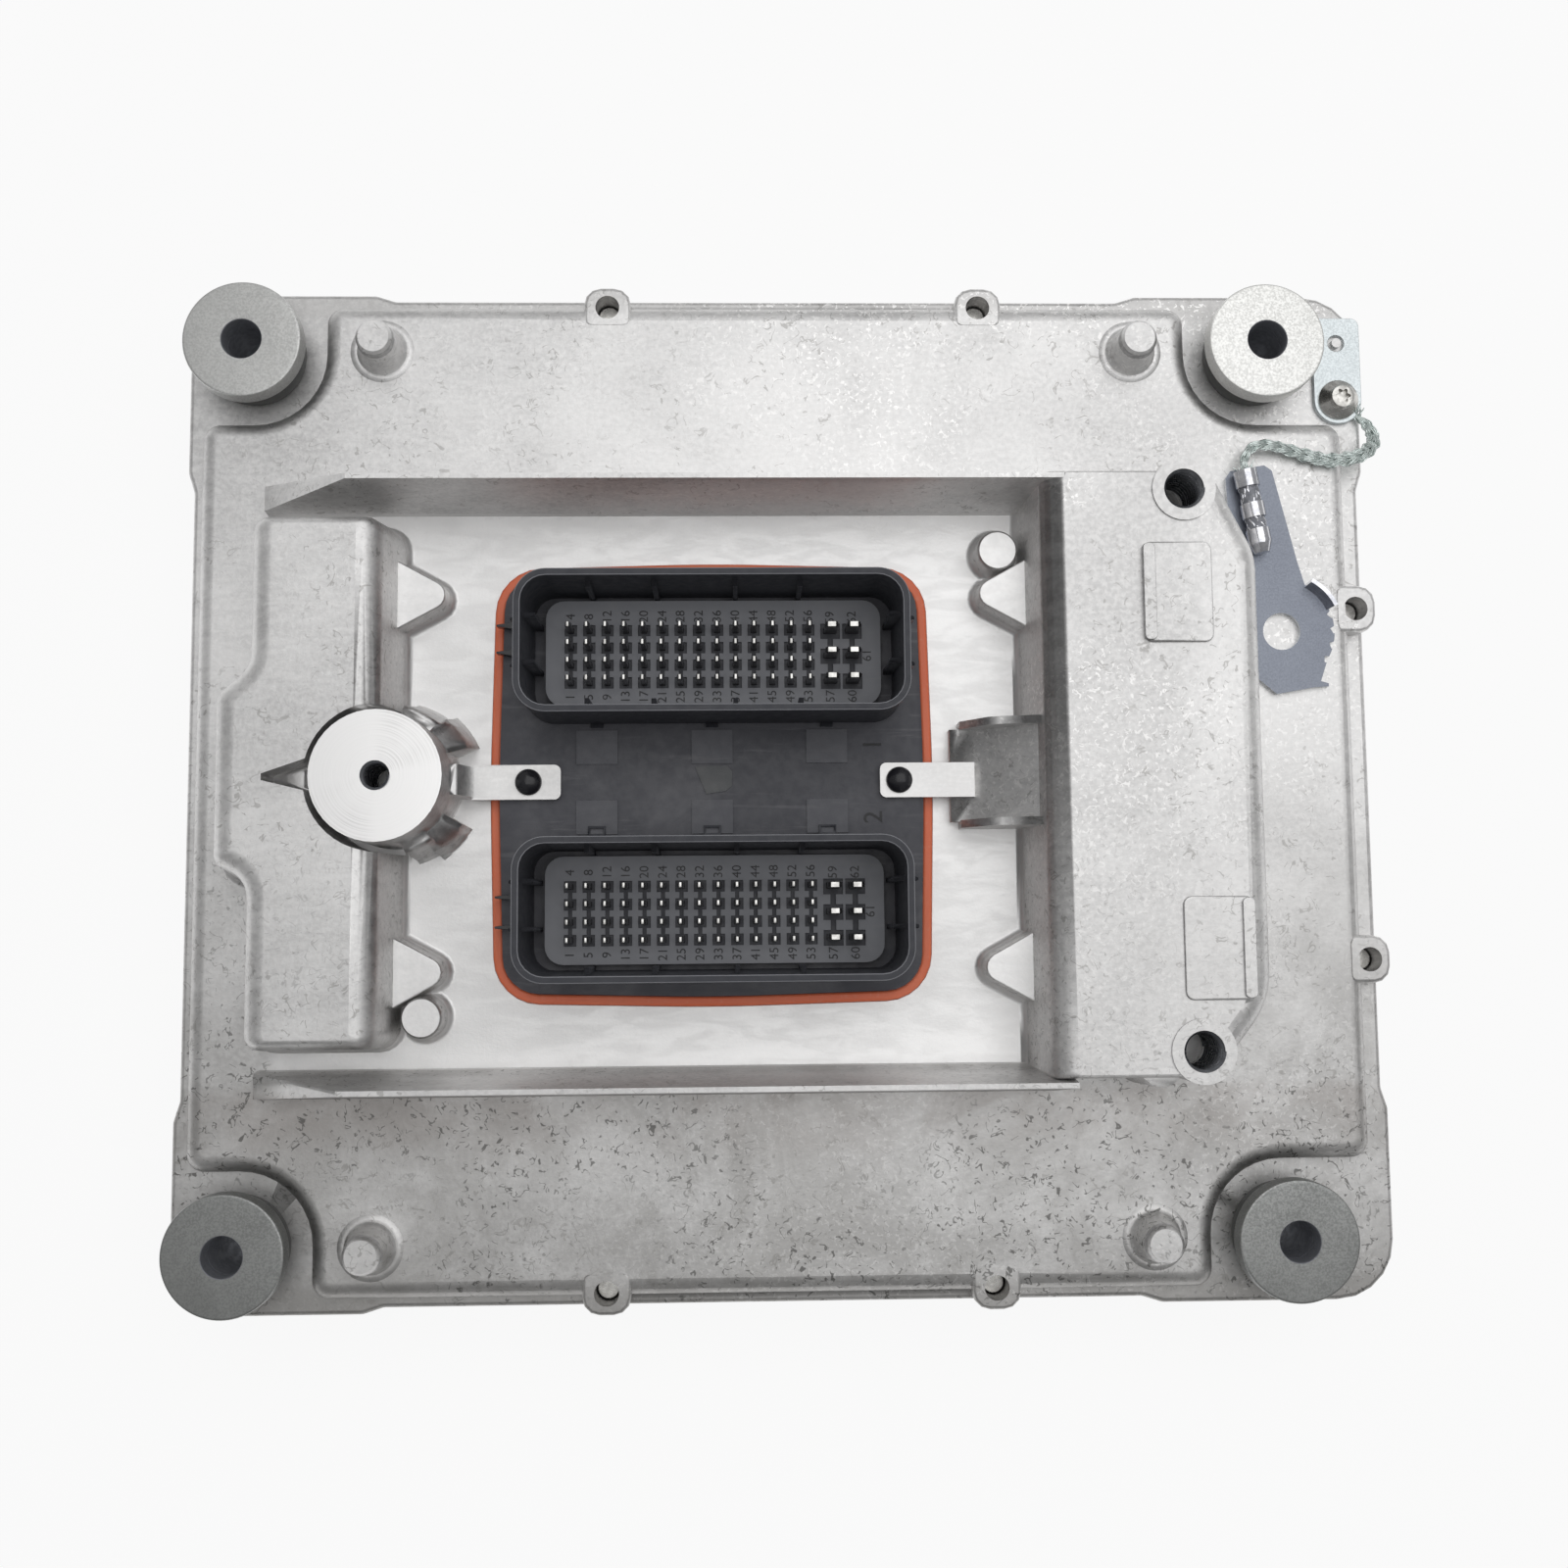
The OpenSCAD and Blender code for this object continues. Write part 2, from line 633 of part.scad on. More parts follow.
function stud_places() = [[stud_x, right_y0 + stud_inset + 1], [stud_x - 0.6, right_y1 - stud_inset]];

// Left block, with a ring groove round the boss and a notch on its outer side
module left_block() {
    groove_r = boss_d / 2 + boss_groove;
    notch_x = groove_r + 8.5;
    difference() {
        loft(left_outline(), raised(left_h, block_draft, block_r), [(left_x0 + left_x1) / 2, mid_y], 5);
        translate([boss_x, mid_y, plateau_z + 1]) cylinder(r = groove_r, h = left_h);
        translate([boss_x, mid_y, plateau_z + 11]) linear_extrude(left_h)
            polygon([[-notch_x, 0.8], [2 - groove_r, 4.4], [2 - groove_r, -3.2], [-notch_x, -0.6]]);
    }
    translate([boss_x, mid_y, plateau_z - sink]) {
        cylinder(d1 = boss_d + 2 * boss_taper, d2 = boss_d, h = boss_h + sink);
        translate([0, 0, sink]) {
            claw([47, 76], [24, 49]);
            claw([-74, -52], [-58, -31]);
        }
        translate([-groove_r - 0.6, -1.9, 0]) cube([3, 3.8, left_h - 3]);
    }
}

// Cast locating pin with a filleted foot
module locating_pin() {
    foot_r = pin_d / 2 + 0.9;
    flare = [for (f = foot_fillet) [foot_r - f[1], f[0]]];
    rotate_extrude() polygon(concat([[0, -sink]], flare,
        [[pin_d / 2, pin_h - 0.6], [pin_d / 2 - 0.6, pin_h], [0, pin_h]]));
}

// Space inside the housing, from the rim to the roof, with a deeper pocket under the right block
module housing_cavity() {
    inside = notched_outline(body_x0 + wall_t, body_x1 - wall_t, body_y - wall_t, lug_r, 5);
    translate([0, 0, rim_z - sink]) linear_extrude(roof_z - rim_z + sink) polygon(ring(inside));
    translate([right_x0 + 9, right_y0 + 18, roof_z - sink])
        cube([right_w - 18, right_y1 - right_y0 - 38, right_h + roof_t - 4.5 + sink]);
}

// The die-cast housing
module housing() {
    color("silver") difference() {
        union() {
            difference() {
                union() {
                    loft(body_outline(),
                        concat([[rim_z, 0]], round_top(flange_z, 0, edge_round, 3)), [0, 0], 5);
                    loft(notched_outline(plat_x0, plat_x1, plat_y, pocket_r, 4),
                        concat([[flange_z - sink, 0]], round_top(plateau_z, 0, plateau_r, 5)), [0, 0], 9);
                    right_block();
                    left_block();
                    long_wall(1);
                    long_wall(-1);
                    foot_boss(left_x1, mid_y + foot_dy, 1);
                    foot_boss(left_x1, mid_y - foot_dy, 1);
                    round_boss(left_x1 + round_in, mid_y - round_dy);
                    foot_boss(right_x0, mid_y + foot_dy, -1);
                    foot_boss(right_x0, mid_y - foot_dy, -1);
                    round_boss(right_x0 - round_in, mid_y + round_dy);
                    for (sx = [-1, 1], sy = [-1, 1])
                        translate([sx * (ax - pin_in), sy * ay, plateau_z]) locating_pin();
                }
                housing_cavity();
                translate([opening_x, mid_y, rim_z]) linear_extrude(plateau_z - rim_z + sink)
                    bulged_rect(opening_w, opening_l, opening_r, plate_bulge);
            }
            left_strap();
            right_strap();
            at_ears() loft(ear_outline(), concat([[rim_z, 0]], round_top(ear_z, 0, ear_round, 3)), [0, 0]);
            at_places(posts, board_z) cylinder(r = post_r, h = board_gap + sink);
            translate([tab_x, tab_hole_y, flange_z - sink]) cylinder(r = pip_r, h = tab_t + sink + 0.4);
        }
        at_places(bolts, rim_z - sink) cylinder(r = neck_r() + bush_gap, h = flange_h + 2 * sink);
        at_places(ears, rim_z - sink) cylinder(d = ear_hole_d, h = ear_z - rim_z + 2 * sink);
        at_places(posts, board_z - sink) cylinder(r = post_hole_r + 0.1, h = 7 + sink);
        for (p = stud_places()) translate([p.x, p.y, right_z + stud_rise - stud_depth])
            cylinder(d = stud_hole_d, h = stud_depth + sink);
        translate([boss_x, mid_y, boss_z - stud_depth]) cylinder(d = boss_hole_d, h = stud_depth + sink);
        for (s = [-1, 1]) translate([header_x + s * stake_half, mid_y, plate_z - sink])
            cylinder(d = stake_d + 2 * stake_gap, h = strap_t + 2 * sink);
        translate([tab_x, tab_screw_y, flange_z - earth_screw_l - sink])
            cylinder(r = earth_screw_r + 0.1, h = earth_screw_l + 2 * sink);
    }
}

function sleeve_r() = bush_bore / 2 + sleeve_wall;
function neck_r() = sleeve_r() + bush_gap + rubber_neck;

module bush_washers() {
    color("lightslategray") at_places(bolts, disc_z) tube(washer_d / 2, bush_bore / 2, washer_t);
}

module lower_washers() {
    color("lightslategray") at_places(bolts) tube(washer_d / 2, bush_bore / 2, lower_washer_t);
}

module bush_sleeves() {
    color("gray") at_places(bolts, lower_washer_t)
        tube(sleeve_r(), bush_bore / 2, disc_z - lower_washer_t);
}

// Rubber bush: a collar on each side of the corner pad, joined by a neck
module bush_rubbers() {
    color("dimgray") at_places(bolts, lower_washer_t) rotate_extrude()
        polygon([
            [sleeve_r() + bush_gap, 0], [rubber_d / 2, 0],
            [rubber_d / 2, rubber_low], [neck_r(), rubber_low],
            [neck_r(), rubber_low + flange_h], [rubber_d / 2, rubber_low + flange_h],
            [rubber_d / 2, disc_z - lower_washer_t], [sleeve_r() + bush_gap, disc_z - lower_washer_t]
        ]);
}

// Plan of the cover: the housing's sides, with room for the bushes at the corners
module cover_plan(inset) {
    clear_r = washer_d / 2 + 2.5;
    polygon(ring(notched_outline(body_x0 + inset, body_x1 - inset, body_y - inset, clear_r, 4)));
    at_ears() polygon(ring(ear_outline(), inset));
}

module rear_cover() {
    color("gainsboro") difference() {
        translate([0, 0, cover_z]) linear_extrude(cover_t) cover_plan(0.5);
        at_places(ears, cover_z - sink) cylinder(r = screw_r + screw_gap, h = cover_t + 2 * sink);
    }
}

// Flat seal on the rim, with an eye round each screw
module cover_gasket() {
    start = 0.8;
    rim = notched_outline(body_x0 + start, body_x1 - start, body_y - start, lug_r - wall_t + start, 4);
    color("darkslategray") translate([0, 0, rim_z - seal_t]) difference() {
        union() {
            difference() {
                linear_extrude(seal_t) polygon(ring(rim));
                translate([0, 0, -sink]) linear_extrude(seal_t + 2 * sink) polygon(ring(rim, seal_w));
            }
            at_ears() linear_extrude(seal_t) polygon(ring(ear_outline(), start));
        }
        at_places(ears, -sink) cylinder(r = screw_r + screw_gap, h = seal_t + 2 * sink);
    }
}

module cover_screws() {
    length = plateau_z - screw_tip_drop - cover_z;
    color("darkgray") at_places(ears, cover_z) {
        cylinder(r = screw_r, h = length);
        translate([0, 0, -screw_head_h])
            cylinder(r1 = screw_head_r - 0.6, r2 = screw_head_r, h = screw_head_h);
    }
}

// One socket: shroud, groove and contact carrier, with guide ribs across the groove
module socket() {
    inner_w = socket_w - 2 * socket_wall;
    inner_l = socket_l - 2 * socket_wall;
    slope = socket_draft / (socket_z - trench_z);
    inside = rect_outline(inner_w, inner_l, socket_r - socket_wall);
    difference() {
        translate([0, 0, plate_z - sink]) linear_extrude(socket_z - plate_z + sink)
            rounded_rect(socket_w, socket_l, socket_r);
        difference() {
            loft(inside, [[trench_z, socket_draft], [socket_z + sink, -slope * sink]], [0, 0], 6);
            translate([0, 0, trench_z - sink]) linear_extrude(carrier_z - trench_z + sink)
                rounded_rect(carrier_w, carrier_l, 4);
        }
    }
    rib = 1;
    rib_in = 1.7;
    rib_h = socket_z - trench_z - 4;
    for (x = [-26.4, -12.4, 4.8, 18.6], s = [-1, 1])
        translate([x - rib / 2, s > 0 ? inner_l / 2 - rib_in : -inner_l / 2 - 0.5, trench_z])
            cube([rib, rib_in + 0.5, rib_h]);
    for (y = [-4, 6], s = [-1, 1])
        translate([s > 0 ? inner_w / 2 - 2.6 : -inner_w / 2 - 0.5, y - rib / 2, trench_z])
            cube([3.1, rib, rib_h]);
}

// Marks on the middle plate: shallow pads, loops beside one socket and tabs beside the other
module plate_marks() {
    pad = [9, 7.4, 0.4];
    loop = [3.8, 2.2, 0.8];
    tab = [2.6, 1.6, 1.5];
    wall = 0.5;
    for (x = [-25.2, 0, 25.2]) translate([header_x - 0.5 + x, mid_y, plate_z]) {
        for (s = [-1, 1]) translate([-pad.x / 2, 7.7 * s - pad.y / 2, -sink]) cube(pad + [0, 0, sink]);
        difference() {
            translate([-loop.x / 2, -11.8, -sink]) cube(loop + [0, 0, sink]);
            translate([wall - loop.x / 2, -11.8 + wall, pad.z])
                cube([loop.x - 2 * wall, loop.y - 2 * wall, loop.z]);
        }
        translate([-tab.x / 2, 12, -sink]) cube(tab + [0, 0, sink]);
    }
}

// Small wedges on the outside of the short walls
module outer_wedges() {
    for (y = [-4, 6], s = [-1, 1]) translate([s * (socket_w / 2 - 0.5), y, plate_z + 6])
        rotate([0, 0, s > 0 ? 0 : 180]) linear_extrude(6)
            polygon([[0, -1], [2.2, -0.3], [2.2, 0.3], [0, 1]]);
}

module connector_header() {
    flange_w = opening_w + 2 * (plate_bulge + header_lap);
    flange_l = opening_l + 2 * (plate_bulge + header_lap);
    color([0.12, 0.12, 0.13]) difference() {
        union() {
            translate([opening_x, mid_y, roof_z - header_flange_t]) {
                linear_extrude(header_flange_t) rounded_rect(flange_w, flange_l, opening_r + header_lap);
                linear_extrude(plate_z - roof_z + header_flange_t)
                    bulged_rect(plate_w, plate_l, plate_r, plate_bulge);
            }
            plate_marks();
            for (y = socket_ys) translate([header_x, y, 0]) {
                socket();
                outer_wedges();
            }
            for (s = [-1, 1]) translate([header_x + s * stake_half, mid_y, plate_z - sink]) {
                cylinder(d = stake_d, h = strap_t + sink);
                translate([0, 0, strap_t + sink]) staked_head();
            }
        }
        for (y = socket_ys) translate([header_x + contact_off_x, y + contact_off_y, 0]) {
            signal_slots();
            blade_slots();
        }
    }
}

// Low dome pressed from the end of a post
module staked_head() {
    dome_h = 2.4;
    r = stake_head_d / 2;
    rotate_extrude() polygon(concat([[0, 0], [r, 0], [r, 0.4]],
        [for (a = [15:15:90]) [r * cos(a), 0.4 + (dome_h - 0.4) * sin(a)]]));
}

module header_gasket() {
    grow = 2 * seal_gap;
    color([0.85, 0.3, 0.2]) translate([opening_x, mid_y, roof_z]) difference() {
        linear_extrude(roof_t + seal_rise)
            bulged_rect(opening_w - grow, opening_l - grow, opening_r - seal_gap, plate_bulge);
        translate([0, 0, -sink]) linear_extrude(roof_t + seal_rise + 2 * sink)
            bulged_rect(plate_w + grow, plate_l + grow, plate_r + seal_gap, plate_bulge);
    }
}

// Places of the signal pins and of the blades, from the middle of the pin grid
function signal_places() = [for (i = [0:columns - 1], j = [0:rows - 1])
    [(i - (columns - 1) / 2) * contact_dx, (j - (rows - 1) / 2) * contact_dy]];
function blade_places() = [for (i = [0:1], j = [-1:1])
    [(columns - 1) / 2 * contact_dx + blade_first + i * blade_dx, j * blade_dy]];

module signal_slots() {
    side = signal_side + 2 * contact_gap;
    at_places(signal_places(), roof_z - header_flange_t - sink) translate([-side / 2, -side / 2, 0])
        cube([side, side, carrier_h + roof_t + header_flange_t + 2 * sink]);
}

module blade_slots() {
    w = blade_w + 2 * contact_gap;
    t = blade_t + 2 * contact_gap;
    at_places(blade_places(), roof_z - header_flange_t - sink) translate([-w / 2, -t / 2, 0])
        cube([w, t, carrier_h + roof_t + header_flange_t + 2 * sink]);
}

// Signal pins of one socket, with a pointed tip
module signal_pins(y) {
    tail_z = board_z - board_t - tail_below;
    point = 1.2;
    s = signal_side / 2;
    h = tip_z - tail_z;
    color("gainsboro") translate([header_x + contact_off_x, y + contact_off_y, tail_z])
        at_places(signal_places())
            prism_y([[-s, 0], [s, 0], [s, h - point], [s / 2, h], [-s / 2, h], [-s, h - point]], -s, s);
}

module signal_pins_a() {
    signal_pins(socket_ys[0]);
}

module signal_pins_b() {
    signal_pins(socket_ys[1]);
}

// Power blades of one socket, with a bevelled tip
module power_blades(y) {
    tail_z = board_z - board_t - tail_below;
    h = tip_z - tail_z;
    w = blade_w / 2;
    t = blade_t / 2;
    color("whitesmoke") translate([header_x + contact_off_x, y + contact_off_y, tail_z])
        at_places(blade_places())
            prism_y([[-w, 0], [w, 0], [w, h - 0.8], [w - 0.5, h], [0.5 - w, h], [-w, h - 0.8]], -t, t);
}

module power_blades_a() {
    power_blades(socket_ys[0]);
}

module power_blades_b() {
    power_blades(socket_ys[1]);
}

module earth_plate() {
    color("lightsteelblue") translate([tab_x, tab_y, flange_z]) difference() {
        linear_extrude(tab_t) {
            r = tab_w / 2;
            translate([0, r - tab_l / 2]) circle(r);
            translate([-r, r - tab_l / 2]) square([tab_w, tab_l - r - 2]);
            translate([2 - r, tab_l / 2 - 3]) square([tab_w - 4, 3]);
            for (s = [-1, 1]) translate([s * (r - 2), tab_l / 2 - 2]) circle(2);
        }
        translate([0, tab_hole_y - tab_y, -sink]) cylinder(r = tab_hole_r, h = tab_t + 2 * sink);
        translate([0, tab_screw_y - tab_y, -sink]) cylinder(r = earth_screw_r + 0.1, h = tab_t + 2 * sink);
    }
}

// Lobed pan screw with a conical base
module earth_screw() {
    color("lightgray") translate([tab_x, tab_screw_y, flange_z + tab_t]) {
        translate([0, 0, -earth_screw_l]) cylinder(r = earth_screw_r, h = earth_screw_l);
        cylinder(r = 4.6, h = 0.5);
        translate([0, 0, 0.5]) cylinder(r1 = 4.4, r2 = 2.7, h = 1.2);
        translate([0, 0, 1.7]) cylinder(r = 2.6, h = 1.6);
    }
}

// Outline of the ring terminal: head with teeth, flat foot with a tail, and stem
module terminal_plan() {
    stem_w = 10.6;
    foot_y = -terminal_r - 1.7;
    difference() {
        union() {
            circle(terminal_r);
            polygon([
                [-9.5, -7], [-4, foot_y], [4.8, foot_y], [7.9, foot_y - 0.4], [8, foot_y + 0.3],
                [6.4, foot_y + 1.1], [9.5, -7]
            ]);
            polygon([
                [-terminal_r + 2, 0], [terminal_r - 3.6, 0], [terminal_r - 5.2, terminal_r + 3],
                [stem_w / 2 + 0.2, terminal_stem - 1.5], [stem_w / 2 - 1.3, terminal_stem],
                [1.4 - stem_w / 2, terminal_stem], [-stem_w / 2, terminal_stem - 1.5]
            ]);
        }
        circle(d = terminal_hole_d);
        for (a = [-42:17:9])
            rotate(a) translate([terminal_r, 0]) rotate(30) square([1.4, 1.4], center = true);
    }
}

module ring_terminal() {
    lip_h = 5;
    // Clearance beside the right block's foot
    beside = 1.8;
    // Bands of the crimp along its length, as [start, length]
    bands = [[2.4, 3], [8.1, 3.3], [15.2, 3.8]];
    color("slategray") {
        difference() {
            translate([terminal_x, terminal_y, plateau_z]) rotate([0, 0, terminal_turn]) {
                linear_extrude(terminal_t) terminal_plan();
                rotate([0, 0, 15]) rotate_extrude(angle = 36)
                    polygon([[terminal_r - 0.8, 0], [terminal_r + 0.4, 0], [terminal_r + 0.9, lip_h],
                        [terminal_r, lip_h]]);
            }
            translate([0, 0, plateau_z - sink]) linear_extrude(terminal_t + 2 * sink)
                polygon(ring(right_outline(), -beside, 6));
        }
        translate([terminal_x, terminal_y, barrel_z]) rotate([0, 0, terminal_turn])
            translate([barrel_x, mouth_l - barrel_l, 0]) rotate([-90, 0, 0]) {
                cylinder(r1 = barrel_r - 0.9, r2 = barrel_r, h = 2.4);
                for (b = bands) translate([0, 0, b[0]]) cylinder(r = barrel_r, h = b[1]);
                translate([0, 0, 2]) cylinder(r = barrel_r - 0.5, h = barrel_l - 2.2);
            }
    }
}

// Round tube along a route of points
module swept_tube(route, d, sides = 8) {
    last = len(route) - 1;
    rings = [for (i = [0:last])
        let (dir = route[min(i + 1, last)] - route[max(i - 1, 0)], t = dir / norm(dir))
        let (a = cross([0, 0, 1], t), u = a / norm(a), v = cross(t, u))
        for (k = [0:sides - 1]) route[i] + d / 2 * (u * cos(360 * k / sides) + v * sin(360 * k / sides))];
    walls = [for (i = [0:last - 1], k = [0:sides - 1])
        let (j = (k + 1) % sides)
        [i * sides + k, (i + 1) * sides + k, (i + 1) * sides + j, i * sides + j]];
    start = [for (k = [0:sides - 1]) k];
    finish = [for (k = [0:sides - 1]) (last + 1) * sides - 1 - k];
    polyhedron(rings, concat([start, finish], walls));
}

module earth_braid() {
    color("silver") swept_tube(braid_route, braid_d);
}

// Board plan follows the inside of the housing
module circuit_board() {
    inset = wall_t + board_clear;
    outline = notched_outline(body_x0 + inset, body_x1 - inset, body_y - inset, lug_r + board_clear / 2, 3);
    color("darkgreen") difference() {
        translate([0, 0, board_z - board_t]) linear_extrude(board_t) polygon(ring(outline));
        at_places(posts, board_z - board_t - sink) cylinder(r = post_hole_r + 0.2, h = board_t + 2 * sink);
        translate([header_x + contact_off_x, 0, board_z - board_t - sink]) for (y = socket_ys)
            translate([0, y + contact_off_y, 0]) {
                at_places(signal_places())
                    cylinder(d = signal_side * 1.5, h = board_t + 2 * sink, $fn = 16);
                at_places(blade_places()) translate([-blade_w / 2 - 0.1, -blade_t / 2 - 0.1, 0])
                    cube([blade_w + 0.2, blade_t + 0.2, board_t + 2 * sink]);
            }
    }
}

module board_screws() {
    color("darkgray") at_places(posts, board_z - board_t) {
        cylinder(r = post_hole_r, h = board_t + 6);
        translate([0, 0, -1.8]) cylinder(r = 2.6, h = 1.8);
    }
}

// Chip body that stands on the board
module chip(x, y, w, l, h) {
    translate([x - w / 2, y - l / 2, board_z]) cube([w, l, h]);
}

// Places of the driver chips along the lower edge of the board
function driver_places() = [for (i = [0:4]) [header_x - 60 + i * driver_pitch, 4 - chip_row_y]];

module microcontroller() {
    color("black") chip(header_x, chip_row_y, cpu_side, cpu_side, 2.4);
}

module flash_memory() {
    color("black") chip(header_x + cpu_side / 2 + 16, chip_row_y, 12, 18, 1.4);
}

module crystal() {
    color("lightgray") chip(header_x - cpu_side / 2 - 10, chip_row_y, 5, 11.4, 3.6);
}

module driver_chips() {
    color("black") for (p = driver_places()) chip(p.x, p.y, 15, 11, 3);
}

// Pads that carry the heat of the driver chips into the roof
module thermal_pads() {
    chip_h = 3;
    color("lightgray") for (p = driver_places())
        translate([p.x - 6.5, p.y - 4.5, board_z + chip_h]) cube([13, 9, board_gap - chip_h]);
}

module voltage_regulators() {
    color("black") for (i = [0:1]) chip(right_x0 - 4, -20 + i * 34, 10, 9, 4.4);
}

// Storage capacitors stand in the pocket under the right block
module storage_capacitors() {
    mid_x = (right_x0 + right_x1) / 2;
    mid = (right_y0 + right_y1) / 2 - 1;
    color("dimgray") for (i = [-1, 1], j = [-1.5:1:1.5])
        translate([mid_x + i * (cap_r + 0.6), mid + j * 2 * (cap_r + 1), board_z])
            cylinder(r = cap_r, h = cap_h);
}

module power_inductors() {
    color("darkslategray") for (i = [0:2]) chip(left_x0 + 4, mid_y - 30 + i * 30, 12.5, 12.5, 6.5);
}

module air_pressure_sensor() {
    color("silver") chip(right_x0 - 10, chip_row_y, 8, 8, 4);
}

module ceramic_capacitors() {
    color("tan") for (i = [0:5], s = [-1, 1])
        chip(header_x - 15 + 6 * i, chip_row_y + s * (cpu_side / 2 + 3.5), 3.2, 1.6, 1.2);
}

housing();
rear_cover();
cover_gasket();
cover_screws();
connector_header();
header_gasket();
signal_pins_a();
signal_pins_b();
power_blades_a();
power_blades_b();
bush_washers();
bush_rubbers();
bush_sleeves();
lower_washers();
earth_plate();
earth_screw();
earth_braid();
ring_terminal();
circuit_board();
board_screws();
microcontroller();
flash_memory();
crystal();
driver_chips();
thermal_pads();
voltage_regulators();
storage_capacitors();
power_inductors();
air_pressure_sensor();
ceramic_capacitors();
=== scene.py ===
"""Engine control unit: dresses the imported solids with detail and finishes, and lights them for a still."""

import logging
import math
import random
from dataclasses import dataclass
from enum import Enum
from typing import Callable, Iterable, Sequence

import bmesh
import bpy
from mathutils import Euler, Matrix, Vector


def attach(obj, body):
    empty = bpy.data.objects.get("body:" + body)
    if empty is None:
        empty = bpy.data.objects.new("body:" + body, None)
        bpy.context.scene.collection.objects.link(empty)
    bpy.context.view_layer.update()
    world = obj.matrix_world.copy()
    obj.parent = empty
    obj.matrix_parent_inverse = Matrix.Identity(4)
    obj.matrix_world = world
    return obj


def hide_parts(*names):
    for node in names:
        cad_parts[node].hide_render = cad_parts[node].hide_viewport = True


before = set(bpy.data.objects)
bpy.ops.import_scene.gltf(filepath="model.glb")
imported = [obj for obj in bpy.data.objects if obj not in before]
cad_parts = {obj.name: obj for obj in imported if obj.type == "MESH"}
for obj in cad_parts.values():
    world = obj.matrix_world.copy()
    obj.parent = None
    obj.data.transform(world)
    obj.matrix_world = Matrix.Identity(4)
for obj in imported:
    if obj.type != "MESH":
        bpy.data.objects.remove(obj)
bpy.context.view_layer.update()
LOG = logging.getLogger("control_unit")

MM = 0.001
UP = Vector((0.0, 0.0, 1.0))
FACING = 0.9  # a face whose normal has a larger Z looks up
LEVEL = 0.02  # faces within this height in millimetres share a level
Pair = tuple[float, float]
Triple = tuple[float, float, float]
Socket = bpy.types.NodeSocket
Material = bpy.types.Material


class Body(Enum):
    """CAD bodies that a piece can ride on."""

    ROOT = "root"


class Marks(Enum):
    """How strongly a cast face shows its dark flow marks, flecks and grime, and its painted shade and shadow."""

    CLEAN = 0.0
    WORN = 1.0


